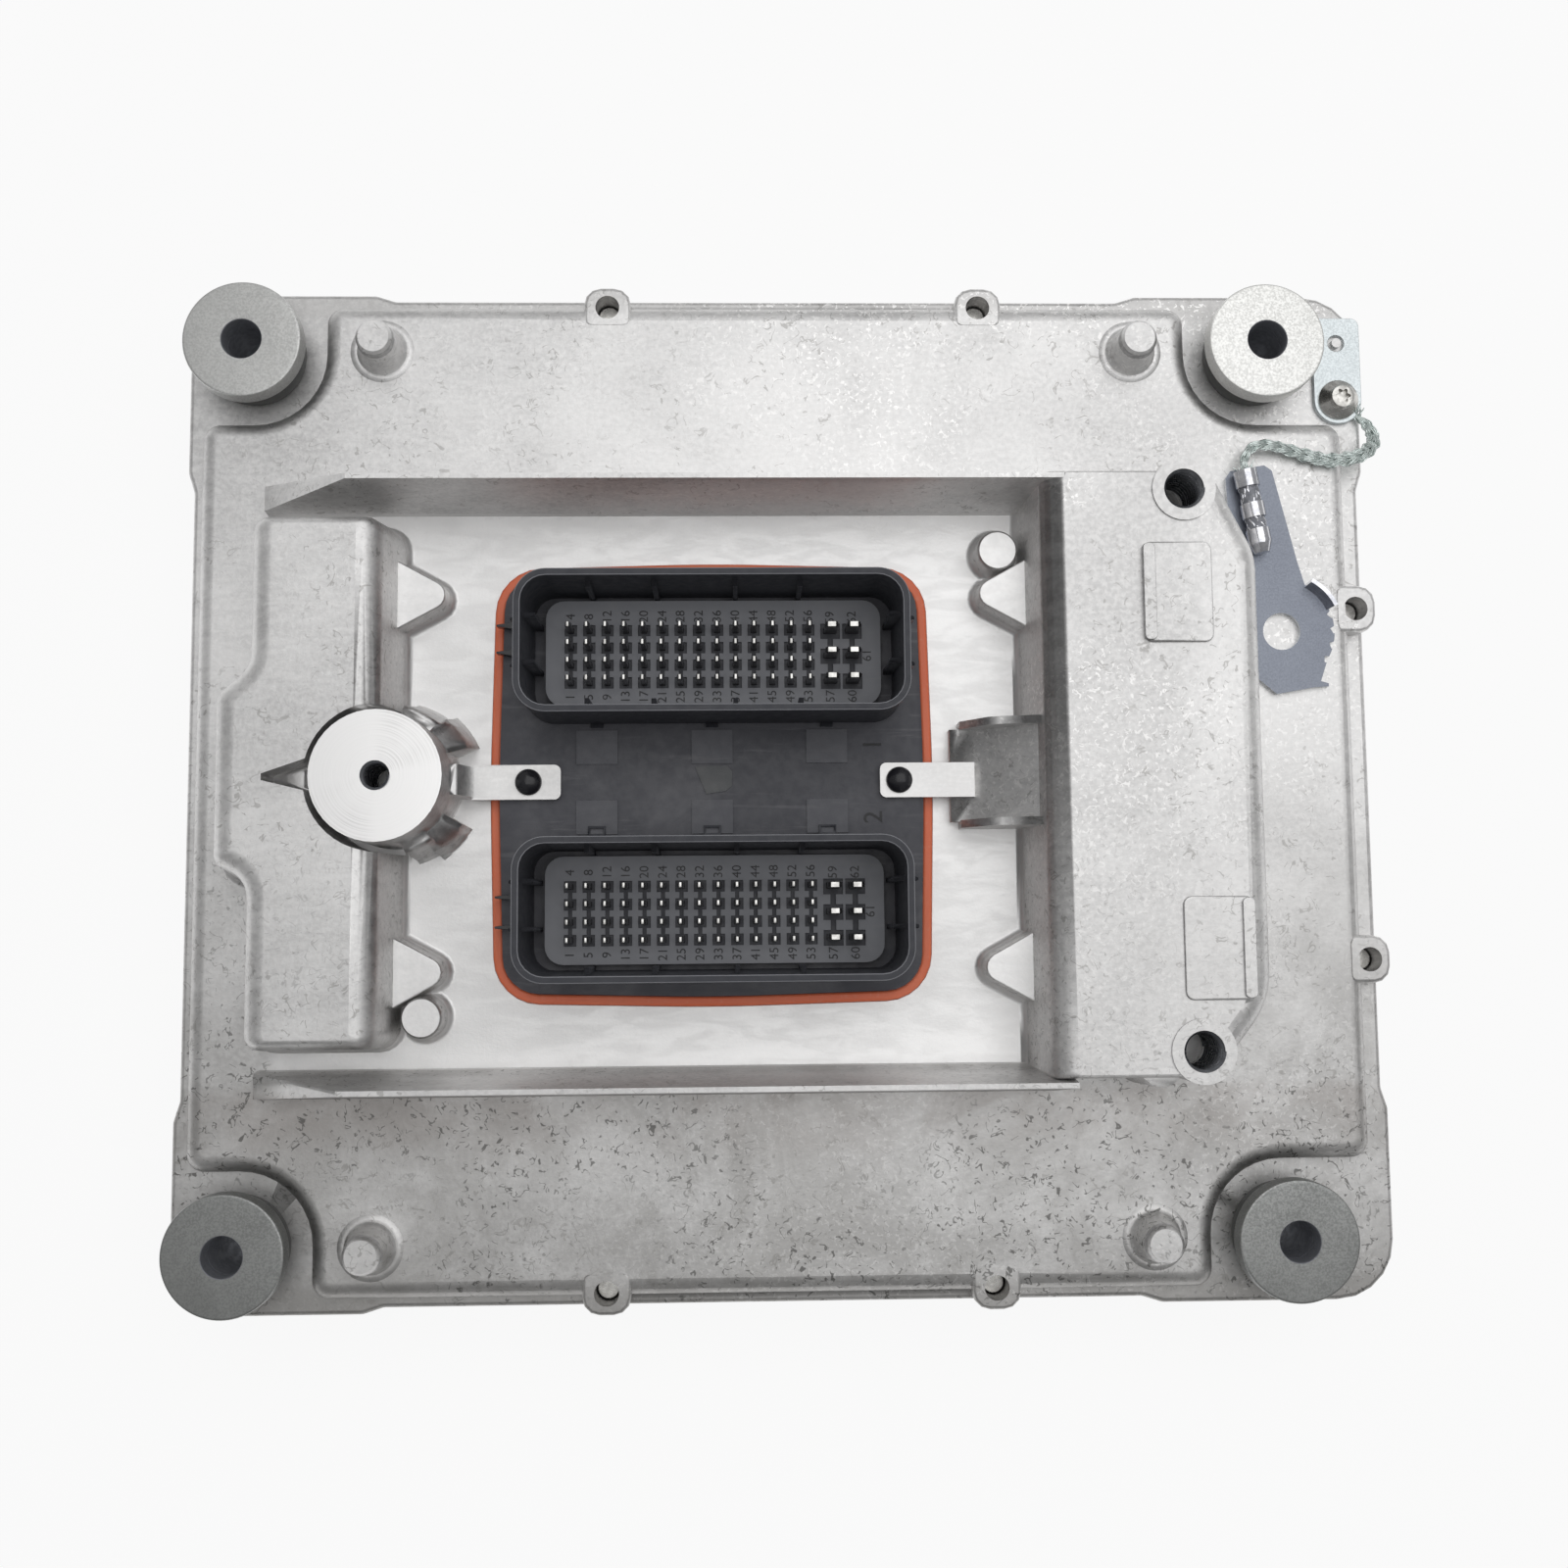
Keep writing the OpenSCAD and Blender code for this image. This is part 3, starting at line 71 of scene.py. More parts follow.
class Graph:
    """Node tree of one material, with short calls for the nodes that the finishes share."""

    def __init__(self, name: str) -> None:
        """Starts a material that holds one main shader.

        Args:
            name: name of the material.
        """
        self.material = bpy.data.materials.new(f"{name}_look")
        self.material.use_nodes = True
        self.tree = self.material.node_tree
        self.shader = self.tree.nodes["Principled BSDF"]
        self.place: Socket = self.node("ShaderNodeTexCoord").outputs["Object"]

    def node(self, kind: str, inputs: dict[str | int, object] | None = None, **settings: object) -> bpy.types.Node:
        """Adds a node.

        Args:
            kind: type of the node.
            inputs: sockets or values that its inputs take.
            settings: properties set on it.
        Returns:
            The new node.
        """
        made = self.tree.nodes.new(kind)
        for key, value in settings.items():
            setattr(made, key, value)
        for key, value in (inputs or {}).items():
            self.feed(made.inputs[key], value)
        return made

    def feed(self, socket: Socket, value: object) -> None:
        """Links a socket into an input, or sets a plain value on it.

        Args:
            socket: the input.
            value: another socket, a number, a vector or a colour.
        """
        if isinstance(value, bpy.types.NodeSocket):
            self.tree.links.new(value, socket)
        elif isinstance(value, tuple) and socket.type == "RGBA":
            socket.default_value = (*value, 1.0)
        else:
            socket.default_value = value

    def mapped(self, scale: Triple, turn: float = 0.0, shift: Triple = (0.0, 0.0, 0.0)) -> Socket:
        """Object coordinates that are moved, turned about Z and stretched.

        Args:
            scale: stretch along each axis.
            turn: angle about Z in degrees.
            shift: move before the stretch, in metres.
        Returns:
            The mapped vector.
        """
        move = tuple(a * b for a, b in zip(shift, scale))
        inputs = {"Vector": self.place, "Location": move, "Rotation": (0.0, 0.0, math.radians(turn)), "Scale": scale}
        return self.node("ShaderNodeMapping", inputs, vector_type="POINT").outputs["Vector"]

    def noise(self, scale: float, detail: float = 3.0, rough: float = 0.55, twist: float = 0.0,
              place: Socket | None = None) -> Socket:
        """Cloud pattern.

        Args:
            scale: features per metre.
            detail: number of finer layers.
            rough: strength of the finer layers.
            twist: distortion of the pattern.
            place: vector it reads, or none for Object coordinates.
        Returns:
            A value from 0 to 1.
        """
        inputs = {"Vector": place or self.place, "Scale": scale, "Detail": detail, "Roughness": rough,
                  "Distortion": twist}
        return self.node("ShaderNodeTexNoise", inputs, noise_dimensions="3D").outputs["Fac"]

    def ramp(self, value: object, low: float, high: float, start: float = 0.0, end: float = 1.0) -> Socket:
        """Maps a range of a value onto another range, held at its ends.

        Args:
            value: the value read.
            low: value that gives start.
            high: value that gives end.
            start: first result.
            end: last result.
        Returns:
            The mapped value.
        """
        inputs = {"Value": value, "From Min": low, "From Max": high, "To Min": start, "To Max": end}
        return self.node("ShaderNodeMapRange", inputs, clamp=True, interpolation_type="SMOOTHSTEP").outputs["Result"]

    def sum(self, action: str, first: object, second: object = 0.0) -> Socket:
        """One step of arithmetic.

        Args:
            action: name of the operation.
            first: first value.
            second: second value.
        Returns:
            The result.
        """
        return self.node("ShaderNodeMath", {0: first, 1: second}, operation=action).outputs[0]

    def mul(self, first: object, *others: object) -> Socket:
        """Product of values.

        Args:
            first: first value.
            others: values that it is multiplied by.
        Returns:
            The product.
        """
        for other in others:
            first = self.sum("MULTIPLY", first, other)
        return first

    def blend(self, share: object, first: object, second: object) -> Socket:
        """Mixes two colours.

        Args:
            share: share of the second colour.
            first: first colour.
            second: second colour.
        Returns:
            The mixed colour.
        """
        inputs = {"Factor": share, 6: first, 7: second}
        return self.node("ShaderNodeMix", inputs, data_type="RGBA", blend_type="MIX").outputs[2]

    def bump(self, height: Socket, strength: float, depth: float, below: Socket | None = None) -> Socket:
        """Relief from a height pattern.

        Args:
            height: the pattern.
            strength: share of the relief.
            depth: height of the relief in metres.
            below: relief that it lies on.
        Returns:
            The bent normal.
        """
        inputs = {"Strength": strength, "Distance": depth, "Height": height}
        if below is not None:
            inputs["Normal"] = below
        return self.node("ShaderNodeBump", inputs).outputs["Normal"]

    def done(self, colour: object, rough: object, normal: Socket, metal: float = 0.0, gloss: float = 0.5) -> Material:
        """Feeds the main shader.

        Args:
            colour: base colour.
            rough: roughness.
            normal: bent normal.
            metal: share of metal.
            gloss: specular level.
        Returns:
            The finished material.
        """
        values = {"Base Color": colour, "Roughness": rough, "Normal": normal, "Metallic": metal,
                  "Specular IOR Level": gloss}
        for key, value in values.items():
            self.feed(self.shader.inputs[key], value)
        return self.material


@dataclass(frozen=True)
class CastAluminium:
    """Die-cast skin: pale clouds, streaks along the flow, bright flecks above, short dark marks and painted shade
    below, and a painted shadow under the rail.
    """

    name: str = "cast_aluminium"
    pale: Triple = (0.9, 0.895, 0.89)
    dull: Triple = (0.58, 0.575, 0.572)
    bright: Triple = (1.0, 0.99, 0.98)
    grime: Triple = (0.33, 0.32, 0.305)
    mark: Triple = (0.13, 0.128, 0.122)
    stain: Triple = (0.36, 0.325, 0.305)
    clean: Triple = (0.88, 0.875, 0.87)
    marks: Marks = Marks.WORN
    rough: float = 0.5
    recess_x: Pair = (-0.104, 0.0585)
    recess_half: float = 0.0612
    recess_top: float = 0.0312
    block_z: Pair = (0.036, 0.041)
    lower_y: Pair = (-0.08, 0.03)
    upper_y: Pair = (-0.06, 0.05)
    right_x: Pair = (-0.07, 0.02)
    stain_from_y: Pair = (-0.086, -0.07)
    stain_to_y: Pair = (-0.068, -0.064)
    front_y: Pair = (-0.1105, -0.1045)
    back_y: Pair = (0.1065, 0.1105)

    def recess(self, g: Graph, x: Socket, y: Socket, z: Socket) -> Socket:
        """Share of the clean floor at a place.

        Args:
            g: graph of the material.
            x: the place's first coordinate.
            y: its second coordinate.
            z: its height.
        Returns:
            1 on the floor of the recess, 0 elsewhere.
        """
        left, right = self.recess_x
        half, top = self.recess_half, self.recess_top
        return g.mul(g.ramp(x, left - 0.006, left), g.ramp(x, right, right + 0.002, 1.0, 0.0),
                     g.ramp(g.sum("ABSOLUTE", y), half - 0.001, half + 0.002, 1.0, 0.0),
                     g.ramp(z, top, top + 0.001, 1.0, 0.0))

    @staticmethod
    def scribble(g: Graph, scale: float, width: float, shift: float, patches: float) -> Socket:
        """Short wavy lines that lie in patches.

        Args:
            g: graph of the material.
            scale: bends of the lines per metre.
            width: share of the pattern that a line covers.
            shift: move of the pattern, which makes it differ from the next one.
            patches: patches per metre.
        Returns:
            1 on a line, 0 elsewhere.
        """
        place = g.mapped((1.0, 1.0, 1.0), 0.0, (shift, shift * 0.6, shift * 0.3))
        line = g.sum("ABSOLUTE", g.sum("SUBTRACT", g.noise(scale, 2.0, 0.5, 0.8, place), 0.5))
        short = g.ramp(g.noise(scale * 1.7, 1.0, 0.5, 0.0, place), 0.52, 0.57)
        patch = g.ramp(g.noise(patches, 3.0, 0.6, 0.0, place), 0.38, 0.58)
        return g.mul(g.ramp(line, width * 0.4, width, 1.0, 0.0), short, patch)

    def build(self) -> Material:
        """Returns the material of the casting."""
        g, wear_and_shade = Graph(self.name), self.marks.value
        x, y, z = g.node("ShaderNodeSeparateXYZ", {0: g.place}).outputs
        cloud = g.ramp(g.noise(17.0, 6.0, 0.62, 0.4), 0.32, 0.68)
        streak = g.ramp(g.noise(1.0, 5.0, 0.68, 0.6, g.mapped((85.0, 300.0, 110.0), 3.0)), 0.34, 0.66)
        grain = g.ramp(g.noise(900.0, 3.0, 0.6), 0.36, 0.66)
        inside = self.recess(g, x, y, z)
        outside = g.sum("SUBTRACT", 1.0, g.mul(inside, 0.92))
        # painted shade mixed with cloudy grime: darker towards the front, weaker on the tall blocks
        lower = g.mul(g.ramp(y, *self.lower_y, 1.0, 0.0), outside, g.ramp(z, *self.block_z, 1.0, 0.25))
        upper = g.mul(g.ramp(y, *self.upper_y, 0.25, 0.9), outside, g.ramp(x, *self.right_x, 0.3, 1.0))
        soot = g.ramp(g.noise(38.0, 5.0, 0.68, 0.8), 0.34, 0.66, 0.18, 0.56)
        # painted shadow: a cloudy dark band below the lower rail
        stain = g.mul(g.ramp(y, *self.stain_from_y), g.ramp(y, *self.stain_to_y, 1.0, 0.0),
                      g.ramp(g.noise(45.0, 5.0, 0.7, 0.6), 0.3, 0.68))
        # darker along the front and back edges
        edges = g.sum("ADD", g.ramp(y, *self.front_y, 0.5 * wear_and_shade, 0.0), g.ramp(y, *self.back_y, 0.0, 0.25 * wear_and_shade))
        dark = g.mul(g.sum("ADD", g.mul(lower, 0.85), 0.12), outside)
        skin = g.blend(g.sum("ADD", g.mul(cloud, 0.55), g.mul(streak, 0.4)), self.dull, self.pale)
        for share, colour in (
                (g.mul(grain, 0.3), self.bright),
                (g.mul(self.scribble(g, 260.0, 0.026, 0.19, 34.0), 0.5 * wear_and_shade), self.grime),
                (g.mul(inside, 0.9), self.clean),
                (g.mul(lower, soot, wear_and_shade), self.grime),
                (g.mul(stain, outside, 0.5 * wear_and_shade), self.stain),
                (edges, self.grime),
                (g.mul(self.scribble(g, 480.0, 0.055, 0.37, 22.0), upper, wear_and_shade), self.bright),
                (g.mul(self.scribble(g, 330.0, 0.03, 0.71, 18.0), dark, 0.8 * wear_and_shade), self.mark)):
            skin = g.blend(share, skin, colour)
        rough = g.ramp(streak, 0.0, 1.0, self.rough - 0.03, self.rough + 0.03)
        relief = g.bump(g.noise(1500.0, 3.0, 0.6), 0.22, 0.00012)
        relief = g.bump(g.noise(260.0, 3.0, 0.5), 0.09, 0.0002, relief)
        return g.done(skin, rough, relief, 1.0)


@dataclass(frozen=True)
class TurnedFace:
    """Face cut on a lathe: fine rings about its centre, with painted sheen in two opposite arcs where the rings stand
    out more.
    """

    name: str = "turned_face"
    centre: Pair = (-0.0801, 0.0008)
    colour: Triple = (0.88, 0.875, 0.87)
    groove: Triple = (0.66, 0.655, 0.65)
    rough: float = 0.34
    arcs: float = 50.0

    def build(self) -> Material:
        """Returns the material of the machined face."""
        g = Graph(self.name)
        flat = g.mapped((1.0, 1.0, 0.0), 0.0, (-self.centre[0], -self.centre[1], 0.0))
        far = g.node("ShaderNodeVectorMath", {0: flat}, operation="LENGTH").outputs["Value"]
        inputs = {"W": far, "Scale": 2600.0, "Detail": 3.0}
        rings = g.node("ShaderNodeTexNoise", inputs, noise_dimensions="1D").outputs["Fac"]
        x, y, _ = g.node("ShaderNodeSeparateXYZ", {0: flat}).outputs
        turn = g.sum("SUBTRACT", g.sum("ARCTAN2", y, x), math.radians(self.arcs))
        # painted sheen: the rings show more at the angle set by arcs and opposite it
        sheen_swing = g.sum("COSINE", g.mul(turn, 2.0))
        patch = g.mul(g.ramp(sheen_swing, 0.0, 0.8), g.ramp(g.noise(70.0, 2.0), 0.35, 0.6))
        share = g.mul(g.ramp(rings, 0.42, 0.62), g.sum("ADD", g.mul(patch, 0.7), 0.06))
        return g.done(g.blend(share, self.colour, self.groove), self.rough, g.bump(rings, 0.12, 0.00006), 1.0)


@dataclass(frozen=True)
class CoinedFace:
    """Flat pressed face, brighter than the rest, with faint drawn streaks."""

    name: str = "coined_face"
    pale: Triple = (0.74, 0.735, 0.73)
    dull: Triple = (0.58, 0.575, 0.57)
    bright: Triple = (0.9, 0.89, 0.88)
    rough: float = 0.36

    def build(self) -> Material:
        """Returns the material of the pressed face."""
        g = Graph(self.name)
        streak = g.noise(1.0, 5.0, 0.6, 0.3, g.mapped((30.0, 260.0, 60.0), 4.0))
        share = g.ramp(g.sum("ADD", g.mul(streak, 0.5), g.mul(g.noise(20.0, 4.0, 0.55), 0.5)), 0.36, 0.6)
        grain = g.ramp(g.noise(1100.0, 2.0), 0.4, 0.7)
        skin = g.blend(g.mul(grain, 0.16), g.blend(share, self.dull, self.pale), self.bright)
        relief = g.bump(g.noise(1500.0, 2.0), 0.14, 0.0001)
        return g.done(skin, g.ramp(streak, 0.3, 0.7, self.rough, self.rough + 0.1), relief, 1.0)


@dataclass(frozen=True)
class PlatedSteel:
    """Plated or tinned steel with a mottled skin and fine scratches."""

    name: str
    colour: Triple
    dull: Triple
    rough: float = 0.38
    grain: float = 700.0
    relief: float = 0.12
    blotch: float = 0.5
    scratches: float = 0.25

    def build(self) -> Material:
        """Returns the material of the plated steel."""
        g = Graph(self.name)
        cloud = g.ramp(g.noise(90.0, 5.0, 0.65, 0.3), 0.3, 0.7)
        speck = g.ramp(g.noise(self.grain, 3.0, 0.6), 0.36, 0.64)
        scratch = g.ramp(g.noise(1.0, 3.0, 0.6, 0.0, g.mapped((90.0, 1400.0, 300.0), 31.0)), 0.52, 0.72)
        mottle = g.sum("ADD", g.mul(cloud, self.blotch), g.mul(speck, 1.0 - self.blotch))
        skin = g.blend(mottle, self.dull, self.colour)
        skin = g.blend(g.mul(scratch, self.scratches), skin, self.colour)
        rough = g.ramp(speck, 0.0, 1.0, self.rough + 0.08, self.rough - 0.04)
        relief = g.bump(g.noise(self.grain * 1.6, 3.0), self.relief, 0.0001)
        return g.done(skin, rough, relief, 1.0)


@dataclass(frozen=True)
class MouldedPlastic:
    """Black moulding with a fine spark-eroded grain and a few pale rubs."""

    name: str
    colour: Triple
    rub: Triple
    rough: float = 0.46
    rubs: float = 0.35

    def build(self) -> Material:
        """Returns the material of the moulding."""
        g = Graph(self.name)
        cloud = g.ramp(g.noise(45.0, 5.0, 0.6, 0.5), 0.46, 0.74)
        streak = g.ramp(g.noise(1.0, 4.0, 0.6, 0.4, g.mapped((35.0, 420.0, 200.0), 8.0)), 0.55, 0.78)
        share = g.mul(g.sum("MAXIMUM", g.mul(cloud, 0.7), streak), self.rubs)
        rough = g.ramp(g.noise(500.0, 3.0), 0.3, 0.7, self.rough - 0.05, self.rough + 0.09)
        relief = g.bump(g.noise(2600.0, 2.0), 0.16, 0.00008)
        return g.done(g.blend(share, self.colour, self.rub), rough, relief, 0.0, 0.42)


@dataclass(frozen=True)
class SoftRubber:
    """Moulded rubber or silicone with a dusty bloom."""

    name: str
    colour: Triple
    bloom: Triple
    rough: float = 0.62

    def build(self) -> Material:
        """Returns the material of the rubber."""
        g = Graph(self.name)
        dust = g.ramp(g.noise(70.0, 5.0, 0.65), 0.4, 0.75)
        speck = g.ramp(g.noise(900.0, 2.0), 0.55, 0.75)
        skin = g.blend(g.mul(g.sum("MAXIMUM", dust, speck), 0.4), self.colour, self.bloom)
        relief = g.bump(g.noise(1400.0, 3.0), 0.2, 0.0001)
        return g.done(skin, g.ramp(dust, 0.0, 1.0, self.rough - 0.08, self.rough + 0.1), relief, 0.0, 0.4)


@dataclass(frozen=True)
class BoardLaminate:
    """Solder mask over copper tracks."""

    name: str = "board_laminate"
    mask: Triple = (0.02, 0.13, 0.05)
    track: Triple = (0.04, 0.2, 0.08)

    def build(self) -> Material:
        """Returns the material of the board."""
        g = Graph(self.name)
        inputs = {"Vector": g.place, "Scale": 160.0, "Mortar Size": 0.03, "Color1": self.mask, "Color2": self.mask,
                  "Mortar": self.track}
        tracks = g.node("ShaderNodeTexBrick", inputs, offset=0.5).outputs
        tint = g.ramp(g.noise(40.0, 3.0), 0.3, 0.7)
        skin = g.blend(g.mul(tint, 0.3), tracks["Color"], self.track)
        return g.done(skin, 0.35, g.bump(tracks["Fac"], 0.3, 0.00006), 0.0, 0.5)


class Finish(Enum):
    """Finishes of the unit, each with the record's slot that it belongs to."""

    CAST = ("cast_aluminium", CastAluminium())
    TURNED = ("cast_aluminium", TurnedFace())
    STRAP = ("cast_aluminium", CoinedFace())
    SHADE = ("cast_aluminium", CastAluminium("shaded_skin", (0.5, 0.496, 0.5), (0.38, 0.376, 0.38), marks=Marks.CLEAN))
    FOOT = ("cast_aluminium", CastAluminium("foot_skin", (0.93, 0.925, 0.92), (0.82, 0.815, 0.81), marks=Marks.CLEAN))
    # painted shade: the threads take a dark steel so that their holes read dark
    THREAD = ("cast_aluminium", PlatedSteel("thread_shade", (0.3, 0.31, 0.33), (0.18, 0.185, 0.2), 0.3))
    COVER = ("cover_aluminium", CastAluminium("cover_sheet", (0.7, 0.7, 0.7), (0.58, 0.58, 0.58),
                                              marks=Marks.CLEAN, rough=0.36))
    SHROUD = ("header_plastic", MouldedPlastic("shroud_plastic", (0.05, 0.052, 0.063), (0.09, 0.09, 0.1)))
    # painted sheen: a paler plastic for the rounded rims of the shrouds
    RIM = ("header_plastic", MouldedPlastic("rim_sheen_plastic", (0.27, 0.275, 0.3), (0.33, 0.33, 0.35), 0.36))
    STAKE = ("header_plastic", MouldedPlastic("stake_plastic", (0.02, 0.02, 0.024), (0.03, 0.03, 0.035), 0.2))
    BLOCK = ("header_plastic", MouldedPlastic("block_plastic", (0.125, 0.127, 0.143), (0.18, 0.18, 0.19), 0.5, 0.7))
    PLATE = ("header_plastic", MouldedPlastic("plate_plastic", (0.075, 0.076, 0.09), (0.18, 0.18, 0.195), 0.42, 0.75))
    CARRIER = ("header_plastic", MouldedPlastic("carrier_plastic", (0.26, 0.266, 0.29), (0.32, 0.32, 0.335), 0.52))
    INK = ("header_plastic", MouldedPlastic("number_plastic", (0.018, 0.018, 0.021), (0.04, 0.04, 0.045), 0.4, 0.2))
    GATE = ("header_plastic", MouldedPlastic("gate_plastic", (0.14, 0.145, 0.15), (0.2, 0.2, 0.2), 0.6, 0.8))
    SILICONE = ("red_silicone", SoftRubber("red_silicone", (0.93, 0.21, 0.1), (0.94, 0.34, 0.22), 0.5))
    SEAL = ("seal_rubber", SoftRubber("seal_rubber", (0.045, 0.045, 0.045), (0.12, 0.12, 0.12)))
    BUSH = ("bush_rubber", SoftRubber("bush_rubber", (0.085, 0.087, 0.085), (0.2, 0.2, 0.19)))
    # painted highlight: a bright copy of the tin for the contacts' tips
    CONTACT = ("tinned_contact", PlatedSteel("tinned_contact", (0.8, 0.79, 0.77), (0.56, 0.55, 0.53), 0.3))
    STEM = ("tinned_contact", PlatedSteel("contact_stem", (0.34, 0.34, 0.345), (0.2, 0.2, 0.205), 0.4))
    DISC = ("zinc_steel", PlatedSteel("disc_steel", (0.38, 0.387, 0.38), (0.27, 0.276, 0.27), 0.44, 2300.0, 0.12, 0.4))
    MID_DISC = ("zinc_steel", PlatedSteel("mid_disc_steel", (0.62, 0.622, 0.61), (0.5, 0.502, 0.492), 0.44, 2300.0,
                                          0.1, 0.3))
    PALE_DISC = ("zinc_steel", PlatedSteel("pale_disc_steel", (0.86, 0.86, 0.84), (0.74, 0.74, 0.72), 0.44, 2300.0,
                                           0.09, 0.2))
    SLEEVE = ("zinc_steel", PlatedSteel("sleeve_steel", (0.42, 0.43, 0.465), (0.34, 0.35, 0.38), 0.7))
    ZINC = ("zinc_steel", PlatedSteel("zinc_steel", (0.66, 0.705, 0.72), (0.58, 0.625, 0.64), 0.36, 2800.0, 0.03, 0.6,
                                     0.15))
    SCREW = ("zinc_steel", PlatedSteel("screw_steel", (0.74, 0.73, 0.7), (0.42, 0.41, 0.39), 0.26))
    TERMINAL = ("terminal_steel", PlatedSteel("terminal_steel", (0.262, 0.282, 0.328), (0.232, 0.25, 0.294), 0.42,
                                              2800.0, 0.02, 0.7, 0.1))
    SHEARED = ("terminal_steel", PlatedSteel("sheared_edge", (0.72, 0.74, 0.76), (0.5, 0.52, 0.54), 0.3))
    CRIMP = ("terminal_steel", PlatedSteel("crimp_tin", (0.88, 0.88, 0.9), (0.5, 0.51, 0.56), 0.16))
    WIRE = ("tinned_braid", PlatedSteel("braid_wire", (0.86, 0.93, 0.91), (0.54, 0.6, 0.58), 0.36, 1500.0))
    BOARD = ("board_laminate", BoardLaminate())
    CHIP = ("chip_plastic", MouldedPlastic("chip_plastic", (0.025, 0.025, 0.025), (0.06, 0.06, 0.06)))
    CAN = ("component_metal", PlatedSteel("component_can", (0.74, 0.74, 0.76), (0.56, 0.56, 0.58), 0.3))
    FERRITE = ("ferrite", MouldedPlastic("ferrite", (0.06, 0.06, 0.065), (0.11, 0.11, 0.12), 0.55))
    CERAMIC = ("ceramic", SoftRubber("ceramic", (0.48, 0.33, 0.18), (0.6, 0.46, 0.3), 0.4))
    PAD = ("thermal_pad", SoftRubber("thermal_pad", (0.42, 0.45, 0.5), (0.55, 0.58, 0.62)))

    @property
    def slot(self) -> str:
        """Slot of the record that the finish belongs to."""
        return self.value[0]

    def material(self) -> Material:
        """Material of the finish, made on first use."""
        return bpy.data.materials.get(f"{self.value[1].name}_look") or self.value[1].build()


class Mould:
    """Mesh in the making, which ends as a dressed piece of the unit."""

    sharp_edge = math.radians(50.0)
    flat = math.radians(0.4)

    def __init__(self, node: str = "") -> None:
        """Starts empty, or as a merged copy of a CAD node with its flat areas joined.

        Args:
            node: name of the CAD node, or none.
        """
        self.bm = bm = bmesh.new()
        if node:
            bm.from_mesh(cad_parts[node].data)
            bmesh.ops.remove_doubles(bm, verts=bm.verts, dist=1e-6)
            bmesh.ops.dissolve_limit(bm, angle_limit=self.flat, use_dissolve_boundaries=False, verts=bm.verts,
                                     edges=bm.edges)

    def sharp(self) -> list[bmesh.types.BMEdge]:
        """Edges where two faces meet at a sharp angle."""
        return [e for e in self.bm.edges if len(e.link_faces) == 2 and e.calc_face_angle(0.0) > self.sharp_edge]

    def soften(self, width: float, edges: Sequence[bmesh.types.BMEdge] | None = None) -> None:
        """Rounds edges.

        Args:
            width: width of the rounding in millimetres.
            edges: the edges, or none for all sharp ones.
        """
        bmesh.ops.bevel(self.bm, geom=list(edges or self.sharp()), offset=width * MM, offset_type="OFFSET", segments=2,
                        profile=0.5, affect="EDGES", material=-1, clamp_overlap=True)

    def lathe(self, profile: Iterable[Pair], centre: Pair, steps: int = 72) -> None:
        """Turns a closed profile about a vertical line.

        Args:
            profile: corners [radius, height] in millimetres.
            centre: place of the line in millimetres.
            steps: faces round the turn.
        """
        bm, middle = self.bm, Vector((*centre, 0.0)) * MM
        corners = [bm.verts.new(middle + Vector((r, 0.0, z)) * MM) for r, z in profile]
        edges = [bm.edges.new((a, b)) for a, b in zip(corners, corners[1:] + corners[:1])]
        bmesh.ops.spin(bm, geom=corners + edges, cent=middle, axis=UP, angle=math.tau, steps=steps, use_merge=True,
                       use_duplicate=False)
        bmesh.ops.remove_doubles(bm, verts=bm.verts, dist=1e-7)
        bmesh.ops.recalc_face_normals(bm, faces=bm.faces)

    def grow(self, faces: Sequence[bmesh.types.BMFace], move: Triple) -> None:
        """Extrudes faces into a closed form.

        Args:
            faces: the faces.
            move: way of the extrusion in millimetres.
        """
        grown = bmesh.ops.extrude_face_region(self.bm, geom=faces)
        moved = [v for v in grown["geom"] if isinstance(v, bmesh.types.BMVert)]
        bmesh.ops.translate(self.bm, verts=moved, vec=Vector(move) * MM)
        bmesh.ops.recalc_face_normals(self.bm, faces=self.bm.faces)

    def prism(self, outline: Iterable[Triple], move: Triple) -> None:
        """Adds a straight prism.

        Args:
            outline: corners of its first face in millimetres.
            move: way to its last face in millimetres.
        """
        self.grow([self.bm.faces.new([self.bm.verts.new(Vector(corner) * MM) for corner in outline])], move)

    def words(self, text: str, size: float, place: Triple, rise: float) -> None:
        """Adds raised plain numbers that read from the right.

        Args:
            text: the digits.
            size: height of the digits in millimetres.
            place: middle of the digits in millimetres.
            rise: height above the face in millimetres.
        """
        curve = bpy.data.curves.new("digits", "FONT")
        curve.body, curve.size, curve.extrude, curve.resolution_u = text, size * 1.4 * MM, rise * MM, 3
        curve.align_x, curve.align_y = "CENTER", "CENTER"
        self.bake(curve, Matrix.Translation(Vector(place) * MM) @ Matrix.Rotation(math.radians(90.0), 4, "Z"))

    def wires(self, lines: Iterable[Sequence[Vector]], radius: float) -> "Mould":
        """Adds thin round wires along lines.

        Args:
            lines: points of each wire in millimetres.
            radius: radius of the wires in millimetres.
        Returns:
            This mould.
        """
        curve = bpy.data.curves.new("wires", "CURVE")
        curve.dimensions, curve.use_fill_caps = "3D", True
        curve.bevel_depth, curve.bevel_resolution = radius * MM, 1
        for line in lines:
            spline = curve.splines.new("POLY")
            spline.points.add(len(line) - 1)
            for point, place in zip(spline.points, line):
                point.co = (*(place * MM), 1.0)
        self.bake(curve, Matrix())
        return self

